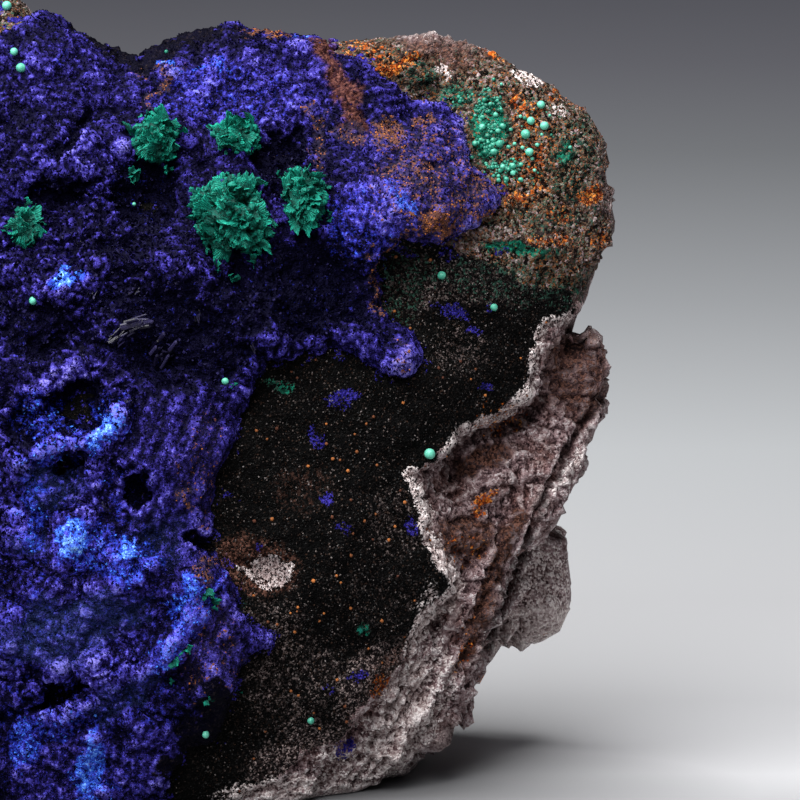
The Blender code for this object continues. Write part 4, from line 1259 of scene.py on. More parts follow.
@dataclass(frozen=True)
class MalachiteFinish:
    """Malachite in feathery blades: a silky deep blue-green with paler ribs, painted shade deep among the fans and
    painted highlights at their rims.
    """

    deep: str = "012420"
    green: str = "036A5A"
    pale: str = "1EB598"

    def material(self) -> Material:
        """Colours a blade along its ribs, with painted shade at its root that lightens to a painted highlight at its
        rim.

        Returns:
            The material.
        """
        made = Finish("malachite_feather_silky")
        speck = made.noise(0.3, 2.0)
        wave = made.sum((made.mark("side"), 38.0), (speck, 5.0))
        rib = add_node(made.tree, "Math", {0: wave}, operation="SINE").outputs[0]
        # Painted shade and highlight: darker at a fan's root, lighter at its rim, and on the core lighter on its folds.
        tone = made.sum((made.mark("painted_light_share"), 0.4), (made.mark("rib"), 0.12), (rib, 0.12), (made.mark("tone"), 0.2),
                        (speck, 0.6), start=-0.22)
        colour = made.ramp(tone, (0.1, self.deep), (0.5, self.green), (0.95, self.pale))
        height = made.sum((rib, 0.5), (speck, 1.0))
        return made.done(colour, Roughness=0.6, Specular_IOR_Level=0.2, Normal=made.bump(height, 0.1))


@dataclass(frozen=True)
class BeadFinish:
    """Malachite in round beads: a smooth milky turquoise-green with a satin gloss."""

    deep: str = "073A2F"
    green: str = "1B8169"
    pale: str = "62BFA4"

    def material(self) -> Material:
        """Clouds the bead between its greens.

        Returns:
            The material.
        """
        made = Finish("malachite_bead_satin")
        tone = made.sum((made.noise(0.5, 2.0), 0.5), (made.mark("tone"), 0.6), start=-0.1)
        colour = made.ramp(tone, (0.12, self.deep), (0.32, self.green), (0.62, self.pale))
        return made.done(colour, Roughness=0.42, Normal=made.bump(made.noise(0.2), 0.02))


# ---- sub-assemblies


def frayed(points: Array, wobble: Grain, reach: float, size: float, octaves: int, gain: float = 0.5,
           ) -> tuple[Array, Array]:
    """Finds points on the drawing, each moved by noise so that the marks' edges fray.

    Args:
        points: millimetres in the part's frame, one row each.
        wobble: the noise.
        reach: how far it moves them, in millimetres.
        size: the spacing of its swells.
        octaves: how many sizes of noise.
        gain: how strong each is against the one before.

    Returns:
        Across and up, in millimetres.
    """
    across, up, _ = SHEET.from_world(points)
    return (across + reach * wobble.fractal(points, size, octaves, gain),
            up + reach * wobble.fractal(points + 50.0, size, octaves, gain))


def crust_marks(points: Array, wobble: Grain) -> dict[str, Array]:
    """Finds the azurite's shades at points by the drawing's marks, brighter in clouds beyond its left edge.

    Args:
        points: millimetres, one row each.
        wobble: the noise that frays the marks.

    Returns:
        Bright, azure, the hollows (carved and darkened as painted shade), slate, ochre, vein and soot, each from 0 to
        1.
    """
    across, up = frayed(points, wobble, 1.4, 2.6, 4, 0.6)
    marks = {name: painted(across, up, table) for name, table in (
        ("bright", BRIGHT_MARKS), ("azure", AZURE_MARKS), ("hollow_painted_shade", HOLLOW_SHADE_MARKS), ("slate", SLATE_MARKS),
        ("ochre", OCHRE_MARKS), ("vein", VEIN_MARKS), ("soot", SOOT_MARKS))}
    beyond = smooth_step(-across, 22.0, 26.0) * smooth_step(wobble.fractal(points, 9.0, 3), -0.3, 0.6)
    marks["bright"] = np.maximum(marks["bright"], 0.6 * beyond)
    return marks


def seat(grounds: list[BVHTree], across: float, up: float) -> tuple[Array, Array]:
    """Finds where the eye's line through a drawing point meets the stone.

    Args:
        grounds: the stone's surfaces.
        across: millimetres to the right on the drawing.
        up: millimetres up on the drawing.

    Returns:
        The point and the surface's normal.
    """
    eye = SHEET.eye()
    aim = SHEET.to_world(np.array([across]), np.array([up]), np.array([0.0]))[0] - eye
    direction = Vector(aim).normalized()
    hits = [tree.ray_cast(Vector(eye), direction) for tree in grounds]
    place, normal, _, _ = min((hit for hit in hits if hit[0] is not None), key=lambda hit: hit[3])
    return np.array(place), np.array(normal)


@dataclass
class HostRock:
    """The rock under everything: black manganese skin in front, broken mauve grain at its right side,
    top, back and base. A relief is a pair of width and height in millimetres."""

    cell: float = 0.42
    limit: int = 196_000
    fill: float = 0.1
    seed: int = 11
    domes: tuple[float, float] = (0.95, 0.26)
    swell: tuple[float, float] = (3.6, 0.45)
    skin_step: float = 0.4
    chips: tuple[float, float] = (3.6, 1.0)
    small_chips: tuple[float, float] = (1.6, 0.6)
    crumbs: tuple[float, float] = (1.0, 0.3)
    streaks: tuple[float, float] = (2.2, 1.5)
    flakes: tuple[float, float] = (5.0, 0.6)
    pebbles: tuple[float, float] = (0.95, 0.3)
    rear_slabs: tuple[float, float] = (11.0, 2.8)
    rear_chips: tuple[float, float] = (5.5, 1.6)
    groove_depth: float = 1.1
    calm: Blot = Blot(45.0, 29.0, 5.5, 8.0, 0, 0.55)
    shell: Shell | None = None
    marks: dict[str, Array] = field(default_factory=dict)

    def _skin(self, shell: Shell, grain: Grain) -> Array:
        """Finds the skin: inside its outline on the drawing, frayed, on faces that look forward.

        Args:
            shell: the rock's surface.
            grain: the noise.

        Returns:
            The skin's share at each point.
        """
        across, up, _ = SHEET.from_world(shell.points)
        gap = inside_distance(across, up, SKIN_OUTLINE) + 0.7 * grain.fractal(shell.points, 2.5, 3)
        gap += 5.0 * smooth_step(-across, 20.0, 28.0) * grain.fractal(shell.points, 9.0, 3)
        facing = shell.normals @ SHEET.towards_eye()
        return smooth_step(gap, -0.4, 0.5) * smooth_step(facing, -0.2, 0.25)

    def _fringe(self, across: Array, up: Array, grain: Grain) -> Array:
        """Finds the scattered blue islands in the 2 mm outside the azurite crust.

        Args:
            across: millimetres to the right.
            up: millimetres up.
            grain: the noise that scatters them.

        Returns:
            Their share at each point.
        """
        gap = -inside_distance(across, up, CRUST_OUTLINE)
        flat = np.stack((across, up, np.zeros_like(across)), axis=1)
        return 0.95 * smooth_step(gap, 2.2, 0.2) * smooth_step(grain.fractal(flat, 1.8, 2), -0.1, 0.5)

    def _broken(self, shell: Shell, grain: Grain) -> Array:
        """Works out the broken rock's relief along the normals.

        Chips at two sizes, half as high under the grit's pebbles; streaks seven times as long as wide
        and flat flakes in the lower right; less of all that on the rear lump; slabs at the back.

        Args:
            shell: the smoothed net.
            grain: the noise.

        Returns:
            The height in millimetres.
        """
        def chipped(relief: tuple[float, float], shift: float) -> Array:
            """Gives chips of a width and height."""
            return relief[1] * grain.chips(points + shift, relief[0])

        points = shell.points
        across, up, _ = SHEET.from_world(points)
        grit, stria = painted(across, up, GRIT_MARKS), painted(across, up, STRIA_MARKS)
        pebble = dome(grain.cells(points + 5.0, self.pebbles[0])[0], 1.1) - 0.7
        rear = smooth_step(-shell.normals @ SHEET.towards_eye(), -0.1, 0.4)
        broken = (
            (chipped(self.chips, 0.0) + chipped(self.small_chips, 9.0)) * (1.0 - 0.5 * grit)
            + self.crumbs[1] * grain.fractal(points, self.crumbs[0], 2)
            + self.streaks[1] * stria * grain.fractal(combed(points, 60.0, 7.0), self.streaks[0], 4, 0.6)
            + stria * chipped(self.flakes, 4.0) + self.pebbles[1] * grit * pebble)
        broken *= 1.0 - self.calm.amount(across, up)
        return broken + rear * (chipped(self.rear_slabs, 3.0) + chipped(self.rear_chips, 7.0))

    def _relief(self, shell: Shell, grain: Grain) -> Array:
        """Works out the whole relief along the normals: the skin's low domes on swells, or the broken rock.

        Args:
            shell: the smoothed net.
            grain: the noise.

        Returns:
            The height in millimetres, with the grooves cut in.
        """
        across, up, _ = SHEET.from_world(shell.points)
        skin = self._skin(shell, grain)
        nearest, _, _ = grain.cells(shell.points, self.domes[0])
        coat = (self.domes[1] * np.sqrt(np.clip(1.0 - nearest, 0.0, 1.0))
                + self.swell[1] * grain.fractal(shell.points, self.swell[0], 4) + self.skin_step)
        return (skin * coat + (1.0 - skin) * self._broken(shell, grain)
                - self.groove_depth * painted(across, up, GROOVE_MARKS))

    def build(self) -> Object:
        """Makes the rock over its node and marks its stains, with painted shade on the faces that look up and painted
        light and shade on its relief.

        Returns:
            The piece.
        """
        grain = Grain(self.seed)
        mesh = settled("matrix_rock", self.cell)
        shell = Shell.of(mesh)
        shell.points = shell.relaxed(6)
        rise = (self._relief(shell, grain) + self.fill) * smooth_step(shell.points[:, 2], 0.15, 1.6)
        spare = smooth_step(-shell.normals @ SHEET.towards_eye(), -0.1, 0.15)
        mesh, self.shell = relaid(mesh, shell.points + shell.normals * rise[:, None], 0.0, self.limit, spare)
        points = self.shell.points
        across, up = frayed(points, grain, 0.6, 2.2, 3)
        facing = self.shell.normals @ SHEET.towards_eye()
        front = smooth_step(facing, -0.1, 0.2)
        back = 1.0 - front
        rusty = smooth_step(grain.fractal(points, 15.0, 4, 0.65), 0.35, 0.8)
        bleached = smooth_step(grain.fractal(points + 120.0, 13.0, 4, 0.6), 0.25, 0.7)
        smoky = smooth_step(grain.fractal(points + 90.0, 14.0, 4, 0.65), 0.1, 0.6)
        blue = np.maximum(painted(across, up, BLUE_DUST_MARKS), self._fringe(across, up, grain))
        self.marks = {
            "skin": self._skin(self.shell, grain),
            "groove": painted(across, up, GROOVE_MARKS) * front,
            "rust": np.maximum(painted(across, up, RUST_MARKS) * front, 0.8 * rusty * back),
            "pale": np.maximum(painted(across, up, PALE_MARKS) * front, 0.7 * bleached * back),
            "green": painted(across, up, GREEN_MARKS) * front,
            "blue": blue * smooth_step(facing, 0.4, 0.65),
            "grit": painted(across, up, GRIT_MARKS) * smooth_step(front, 0.0, 0.5),
            "frost": painted(across, up, FROST_MARKS),
            "halo": painted(across, up, HALO_MARKS) * front,
            # Painted shade on the faces that look up, with random smoky clouds on the back.
            "top": np.maximum(smooth_step(self.shell.normals[:, 2], 0.35, 0.85), 1.6 * smoky * back),
            # Painted light and shade: how far each point stands above the surface smoothed at two sizes.
            "high": smooth_step(self.shell.raised(5), -0.18, 0.2),
            "proud_painted_light": smooth_step(self.shell.raised(30), -0.6, 0.6),
        }
        add_marks(mesh, self.marks)
        return show("host_rock", mesh, HostRockFinish().material(), ("matrix_rock",))


@dataclass
class AzuriteCrust:
    """The crust of azurite over the rock's front: lumps with creases, hollows and streaked ridges.
    A relief is a pair of width and height in millimetres."""

    cell: float = 0.36
    limit: int = 197_000
    swell: float = 0.42
    seed: int = 23
    domes: tuple[tuple[float, float], ...] = ((4.4, 2.3), (2.1, 1.3), (1.05, 0.6))
    velvet: tuple[float, float] = (1.4, 0.7)
    swells: tuple[float, float] = (5.0, 0.7)
    streaks: tuple[float, float] = (1.3, 0.5)
    hollow_depth: float = 2.0
    shell: Shell | None = None
    marks: dict[str, Array] = field(default_factory=dict)

    def _relief(self, shell: Shell, grain: Grain) -> Array:
        """Works out the relief along the normals.

        Domes at three sizes with sharp creases between, weaker where the velvet lies smooth; streaks
        five times as long as wide on the steep ridges; hollows go in.

        Args:
            shell: the smoothed net.
            grain: the noise.

        Returns:
            The height in millimetres.
        """
        points = shell.points
        across, up, _ = SHEET.from_world(points)
        lumpy = 0.45 + 0.55 * painted(across, up, LUMP_MARKS)
        stream = painted(across, up, STREAM_MARKS)
        bent = points + 0.9 * np.stack([grain.fractal(points + 40.0 * k, 2.4, 2) for k in range(3)], axis=1)
        large, middling, small = (
            height * (dome(grain.cells(bent + 60.0 * k, width)[0], 1.15) - 0.78)
            for k, (width, height) in enumerate(self.domes))
        small = small + self.velvet[1] * (grain.billow(points + 80.0, self.velvet[0], 3, 0.6) - 0.5)
        return (
            (large + middling) * lumpy * (1.0 - 0.6 * stream)
            + small * (0.6 + 0.4 * lumpy) * (1.0 - 0.55 * stream)
            + self.swells[1] * grain.fractal(points, self.swells[0], 3) * (1.0 - 0.5 * lumpy)
            + self.streaks[1] * stream * grain.fractal(combed(points, 68.0, 5.0), self.streaks[0], 3)
            - self.hollow_depth * crust_marks(points, grain)["hollow_painted_shade"])

    def build(self) -> Object:
        """Makes the crust over its node and marks its shades.

        Returns:
            The piece.
        """
        grain = Grain(self.seed)
        mesh = settled("azurite_crust", self.cell)
        shell = Shell.of(mesh)
        shell.points = shell.relaxed(5)
        facing = smooth_step(shell.normals @ SHEET.towards_eye(), -0.15, 0.3)
        rise = self._relief(shell, grain) * facing + self.swell
        mesh, self.shell = relaid(mesh, shell.points + shell.normals * rise[:, None], 0.3, self.limit, 1.0 - facing)
        self.marks = crust_marks(self.shell.points, grain)
        # Painted light and shade: how far each point stands above the surface smoothed at two sizes, read as lighter
        # ridges and lumps and darker creases.
        self.marks["high"] = smooth_step(self.shell.raised(6), -0.22, 0.26)
        self.marks["proud_painted_light"] = smooth_step(self.shell.raised(45), -0.8, 0.9)
        add_marks(mesh, self.marks)
        return show("azurite_crust_velvet", mesh, AzuriteFinish().material(), ("azurite_crust",))


@dataclass
class AzuriteDruse:
    """The tiny wedge-shaped azurite crystals that stand on the crust."""

    count: int = 24_000
    pieces: int = 2
    small: float = 0.2
    large: float = 0.5
    seed: int = 31

    def build(self, crust: AzuriteCrust) -> None:
        """Strews crystals over the crust's front, leaning out of it by about half a right angle.

        Args:
            crust: the finished crust that carries them.
        """
        rng = np.random.default_rng(self.seed)
        facing = crust.shell.normals @ SHEET.towards_eye()
        bare = np.maximum(crust.marks["vein"], crust.marks["soot"])
        weight = smooth_step(facing, -0.35, 0.1) * (1.0 - 0.95 * bare)
        finish = DruseFinish().material()
        grain = Grain(crust.seed)
        for number in range(self.pieces):
            places, normals = crust.shell.scattered(weight, self.count, rng)
            across, up, _ = SHEET.from_world(places)
            lumpy = painted(across, up, LUMP_MARKS)
            width = self.small + (self.large - self.small) * lumpy * rng.random(self.count) ** 4
            width += 0.1 * rng.random(self.count)
            sizes = np.stack((width, width * rng.uniform(0.6, 1.0, self.count),
                              width * rng.uniform(0.6, 1.2, self.count)), axis=1)
            points, faces = strewn(places, normals, sizes, WEDGE_POINTS, WEDGE_FACES, 0.42, rng)
            mesh = mesh_of(f"azurite_druse_{number + 1}", points, faces, False)
            marks = crust_marks(places, grain)
            marks["tone"] = rng.random(self.count) ** 2
            for name in ("azure", "ochre"):
                marks[name] = (marks[name] > rng.uniform(0.35, 1.3, self.count)).astype(float)
            add_marks(mesh, {k: np.repeat(v, len(WEDGE_POINTS)) for k, v in marks.items() if k != "vein"})
            show(f"azurite_druse_{number + 1}", mesh, finish)


@dataclass
class OxideGrains:
    """The grains that make the black skin glitter."""

    count: int = 22_000
    low: float = 0.16
    high: float = 0.34
    seed: int = 41

    def build(self, rock: HostRock) -> None:
        """Strews grains over the skin.

        Args:
            rock: the finished rock.
        """
        rng = np.random.default_rng(self.seed)
        across, _, _ = SHEET.from_world(rock.shell.points)
        weight = rock.marks["skin"] * smooth_step(across, 0.0, 3.0) + 0.12 * rock.marks["skin"]
        places, normals = rock.shell.scattered(weight, self.count, rng)
        width = rng.uniform(self.low, self.high, self.count)
        sizes = np.stack((width, width * rng.uniform(0.6, 1.2, self.count), width), axis=1)
        points, faces = strewn(places, normals, sizes, GRAIN_POINTS, GRAIN_FACES, 0.8, rng)
        mesh = mesh_of("manganese_oxide_grains", points, faces, False)
        add_marks(mesh, {"tone": np.repeat(rng.random(self.count), len(GRAIN_POINTS))})
        show("manganese_oxide_grains", mesh, OxideFinish().material())


@dataclass
class LimoniteGrains:
    """The orange grains over the upper right, along the crust's edge and dotted over the black skin."""

    count: int = 5200
    dots: int = 90
    seed: int = 43

    def build(self, rock: HostRock, crust: AzuriteCrust) -> None:
        """Strews grains where the rust and ochre marks are, and single larger dots over the skin.

        Args:
            rock: the finished rock.
            crust: the finished crust.
        """
        rng = np.random.default_rng(self.seed)
        grown = []
        dotted = rock.marks["skin"] * smooth_step(SHEET.from_world(rock.shell.points)[0], 4.0, 6.0)
        for shell, weight, count, low, high in (
                (rock.shell, rock.marks["rust"] ** 2, self.count // 2, 0.14, 0.34),
                (crust.shell, crust.marks["ochre"] ** 2, self.count // 5, 0.16, 0.32),
                (rock.shell, dotted, self.dots, 0.35, 0.6)):
            grown.append((*shell.scattered(weight, count, rng), rng.uniform(low, high, count)))
        places, normals, width = (np.concatenate(parts) for parts in zip(*grown))
        template, template_faces = ball(2, 5)
        sizes = 0.5 * np.stack((width, width, width * 0.8), axis=1)
        points, faces = strewn(places, normals, sizes, template, template_faces, 0.5, rng)
        mesh = mesh_of("limonite_grains", points, faces, True)
        add_marks(mesh, {"tone": np.repeat(rng.random(len(width)), len(template))})
        show("limonite_grains", mesh, LimoniteFinish().material())


@dataclass(frozen=True)
class Leaves:
    """How malachite grows: small crumpled fans, finely ribbed, with a ragged rim."""

    rows: int = 9
    columns: int = 19
    spread: float = math.radians(40.0)
    thickness: float = 0.1
    ribs: float = 3.0
    rib_depth: float = 0.05
    crumple: float = 0.2

    def grow(self, roots: Array, tips: Array, rng: np.random.Generator,
             ) -> tuple[Array, Array, dict[str, Array]]:
        """Works out all fans at once on a grid of u from root to rim and v from side to side.

        A fan's v is an angle in its own plane. It curls up as its angle grows with u and droops with
        v squared; its ribs are a cosine of v; its rim is drawn in and out at random along v; two
        skins close at the rim; noise of 1.3 mm and 0.5 mm crumples it.

        Args:
            roots: where each fan starts.
            tips: where the middle of its rim is.
            rng: the seeded generator.

        Returns:
            Points, triangles and the marks.
        """
        count = len(roots)
        reach = np.linalg.norm(tips - roots, axis=1, keepdims=True)
        axis = (tips - roots) / reach
        across = unit(np.cross(axis, SHEET.towards_eye() + 0.55 * rng.normal(size=(count, 3))))
        lift = np.cross(across, axis)
        u = np.linspace(0.0, 1.0, self.rows)[None, :, None]
        v = np.linspace(-1.0, 1.0, self.columns)[None, None, :]
        angle = self.spread * rng.uniform(0.6, 1.3, (count, 1, 1)) * v
        ragged = 0.1 * np.cos(7.0 * v + rng.uniform(0.0, 6.0, (count, 1, 1))) - 0.3 * v * v
        ragged = ragged + 0.05 * rng.normal(size=(count, 1, self.columns))
        long = reach[:, :, None] * u * (1.0 + ragged * u)
        bend = rng.uniform(-0.5, 1.2, (count, 1, 1)) * u
        rib = np.cos(2.0 * math.pi * self.ribs * v + rng.uniform(0.0, 6.0, (count, 1, 1)))
        forward = long * np.cos(0.8 * bend)
        rise = long * np.sin(0.8 * bend) - 0.25 * long * v * v + self.rib_depth * rib * u
        middle = (
            roots[:, None, None] + axis[:, None, None] * (forward * np.cos(angle))[..., None]
            + across[:, None, None] * (forward * np.sin(angle))[..., None] + lift[:, None, None] * rise[..., None])
        thick = 0.5 * self.thickness * (1.0 - 0.6 * u) * np.sqrt(np.clip(1.0 - (0.98 * v) ** 2, 0.02, 1.0))
        offset = lift[:, None, None] * (thick * np.ones_like(rise))[..., None]
        points = np.stack((middle + offset, middle - offset), axis=1).reshape(-1, 3)
        grain = Grain(7)
        for size, share in ((1.3, 1.0), (0.5, 0.4)):
            points += self.crumple * share * np.stack(
                [grain.smooth(points + 9.0 * k, size) for k in range(3)], axis=1)
        shape = (count, 2, self.rows, self.columns)
        marks = {
            # From root to rim, read by the finish as painted shade that lightens to a painted highlight.
            "painted_light_share": np.broadcast_to(u[:, None], shape).ravel(),
            "rib": np.broadcast_to((0.5 + 0.5 * rib)[:, None], shape).ravel(),
            "side": np.broadcast_to(v[:, None], shape).ravel(),
            "tone": np.repeat(rng.random(count), 2 * self.rows * self.columns),
        }
        return points, self._faces(count), marks

    def _faces(self, count: int) -> Array:
        """Gives the triangles: an upper skin, a lower skin and the band round them.

        Args:
            count: how many fans.

        Returns:
            Rows of three point numbers.
        """
        grid = self.rows * self.columns
        here = np.arange(grid).reshape(self.rows, self.columns)
        a, b, c, d = (part.ravel() for part in (here[:-1, :-1], here[1:, :-1], here[1:, 1:], here[:-1, 1:]))
        upper = np.concatenate((np.stack((a, c, b), 1), np.stack((a, d, c), 1)))
        rim = np.concatenate((here[0, :-1], here[:-1, -1], here[-1, :0:-1], here[:0:-1, 0]))
        following = np.roll(rim, -1)
        band = np.concatenate((np.stack((following, rim, following + grid), 1),
                               np.stack((rim, rim + grid, following + grid), 1)))
        one = np.concatenate((upper, upper[:, ::-1] + grid, band))
        return (one[None] + (np.arange(count) * 2 * grid)[:, None, None]).reshape(-1, 3)


@dataclass
class MalachiteRosette:
    """One tuft of malachite over its node: a crumpled core with many small fans that spread out of it."""

    node: str
    fans: int
    seed: int

    def build(self, finish: Material) -> Object:
        """Makes the tuft: fans of 1.1 to 3 mm whose rims end about the node's surface.

        Args:
            finish: the malachite.

        Returns:
            The piece.
        """
        rng = np.random.default_rng(self.seed)
        mesh = settled(self.node, 0.3)
        shell = Shell.of(mesh)
        bpy.data.meshes.remove(mesh)
        facing = smooth_step(shell.normals @ SHEET.towards_eye(), -0.6, 0.3)
        goals, _ = shell.scattered(facing, self.fans, rng)
        middle = shell.points.mean(axis=0)
        outward = goals - middle
        distance = np.linalg.norm(outward, axis=1, keepdims=True)
        aim = outward / distance + 0.35 * rng.normal(size=(self.fans, 3))
        aim = unit(aim - 0.5 * (aim @ SHEET.towards_eye())[:, None] * SHEET.towards_eye())
        reach = np.minimum(rng.uniform(1.1, 3.0, (self.fans, 1)), 0.2 + 0.9 * distance)
        tips = goals + 0.3 * rng.normal(size=(self.fans, 3))
        points, faces, marks = Leaves().grow(tips - aim * reach, tips, rng)
        shell.points = shell.relaxed(2)
        folds = Grain(self.seed).billow(shell.points, 1.2, 3)
        core = middle + (shell.points - middle) * 0.78 + shell.normals * (1.1 * (folds - 0.4))[:, None]
        faces = np.concatenate((faces, shell.triangles + len(points)))
        mesh = mesh_of(self.node + "_feathers", np.concatenate((points, core)), faces, True)
        fold = smooth_step(folds, 0.1, 0.9)
        # The core's folds get painted highlights and its creases painted shade.
        core_marks = {"painted_light_share": 0.7 * fold, "rib": fold, "side": 0.5 * folds, "tone": np.full(len(core), 0.3)}
        add_marks(mesh, {name: np.concatenate((value, core_marks[name])) for name, value in marks.items()})
        return show(self.node + "_feathers", mesh, finish, (self.node,))


@dataclass
class MalachiteSlivers:
    """The small tufts and slivers of malachite away from the rosettes."""

    seed: int = 57
    spots: tuple[tuple[float, float, float, int], ...] = (
        (-7.4, 79.9, 1.5, 9), (8.2, 69.2, 0.9, 5), (16.0, 73.4, 0.7, 4), (2.8, 26.4, 1.3, 7), (2.2, 27.8, 1.1, 6),
        (-1.8, 19.4, 1.3, 7), (-0.4, 20.6, 1.2, 6), (-2.4, 16.6, 0.7, 3), (2.3, 14.4, 1.0, 6), (21.6, 23.2, 0.9, 5),
        (5.6, 53.5, 0.5, 3), (-19.6, 72.6, 1.4, 7), (-20.6, 76.0, 1.2, 5), (3.4, 68.4, 1.3, 5), (5.2, 67.0, 1.0, 4),
        (6.2, 15.4, 0.5, 3), (11.0, 80.2, 0.8, 4), (-3.0, 80.6, 0.9, 5), (13.4, 78.6, 1.0, 5), (17.4, 74.6, 1.0, 5),
        (16.6, 78.2, 0.9, 4),
    )

    def build(self, grounds: list[BVHTree], finish: Material) -> Object:
        """Sets a few small fans on the stone at each spot.

        Args:
            grounds: the stone's surfaces.
            finish: the malachite.

        Returns:
            The piece.
        """
        rng = np.random.default_rng(self.seed)
        roots, tips = [], []
        for across, up, size, fans in self.spots:
            place, normal = seat(grounds, across, up)
            aim = unit(normal * 0.5 + rng.normal(size=(fans, 3)) * 0.7)
            roots.append(place + 0.2 * size * rng.normal(size=(fans, 3)))
            tips.append(roots[-1] + aim * size * rng.uniform(0.7, 1.1, (fans, 1)))
        points, faces, marks = Leaves(rows=6, columns=11).grow(np.concatenate(roots), np.concatenate(tips), rng)
        mesh = mesh_of("malachite_slivers", points, faces, True)
        add_marks(mesh, marks)
        return show("malachite_slivers", mesh, finish)


@dataclass
class AzuriteLaths:
    """The few larger azurite crystals with striated flats, in a nest left of the middle."""

    seed: int = 71
    nests: tuple[tuple[float, float, float, int], ...] = (
        (-6.8, 61.4, 2.4, 24), (-9.0, 60.0, 1.6, 16), (-3.6, 57.6, 2.6, 28), (-6.6, 65.6, 1.4, 20),
        (-13.6, 57.2, 1.3, 12), (-2.0, 66.6, 1.0, 16), (-7.6, 51.6, 1.0, 16), (-10.6, 38.4, 0.8, 16),
        (1.0, 62.0, 0.9, 16), (-12.4, 65.0, 1.0, 12), (12.8, 80.8, 0.9, 16), (-14.0, 71.5, 0.9, 12),
        (8.0, 58.6, 0.8, 12), (-16.0, 44.0, 0.8, 12),
    )

    def build(self, grounds: list[BVHTree]) -> Object:
        """Sets flat six-sided laths in bundles that lean apart by about 20 degrees.

        Args:
            grounds: the stone's surfaces.

        Returns:
            The piece.
        """
        rng = np.random.default_rng(self.seed)
        end = np.array(((-0.5, 0.0), (-0.2, 0.16), (0.3, 0.16), (0.5, 0.0), (0.2, -0.16), (-0.3, -0.16)))
        template = np.concatenate((
            np.column_stack((end, np.full(6, -0.5))), np.column_stack((end * 0.92, np.full(6, 0.38))),
            ((0.0, 0.0, -0.5), (0.05, 0.0, 0.5))))
        here = np.arange(6)
        following = (here + 1) % 6
        faces = np.concatenate((
            np.stack((here, following + 6, here + 6), 1), np.stack((here, following, following + 6), 1),
            np.stack((np.full(6, 12), following, here), 1), np.stack((np.full(6, 13), here + 6, following + 6), 1)))
        faces = faces[:, ::-1]
        places, axes, sizes = [], [], []
        for across, up, size, number in self.nests:
            place, normal = seat(grounds, across, up)
            lean = normal * 0.5 + rng.normal(size=3) * 0.8
            lean /= np.linalg.norm(lean)
            places.append(place + 0.3 * size * rng.normal(size=(number, 3)))
            axes.append(np.repeat(lean[None], number, axis=0))
            long = size * rng.uniform(0.6, 1.2, number)
            sizes.append(np.stack((
                long * rng.uniform(0.14, 0.3, number), long * rng.uniform(0.2, 0.5, number), long), axis=1))
        count = sum(len(part) for part in places)
        points, triangles = strewn(np.concatenate(places), np.concatenate(axes), np.concatenate(sizes),
                                   template, faces, 0.2, rng)
        mesh = mesh_of("azurite_laths", points, triangles, False)
        add_marks(mesh, {"tone": np.repeat(rng.random(count), len(template))})
        return show("azurite_laths", mesh, LathFinish().material())


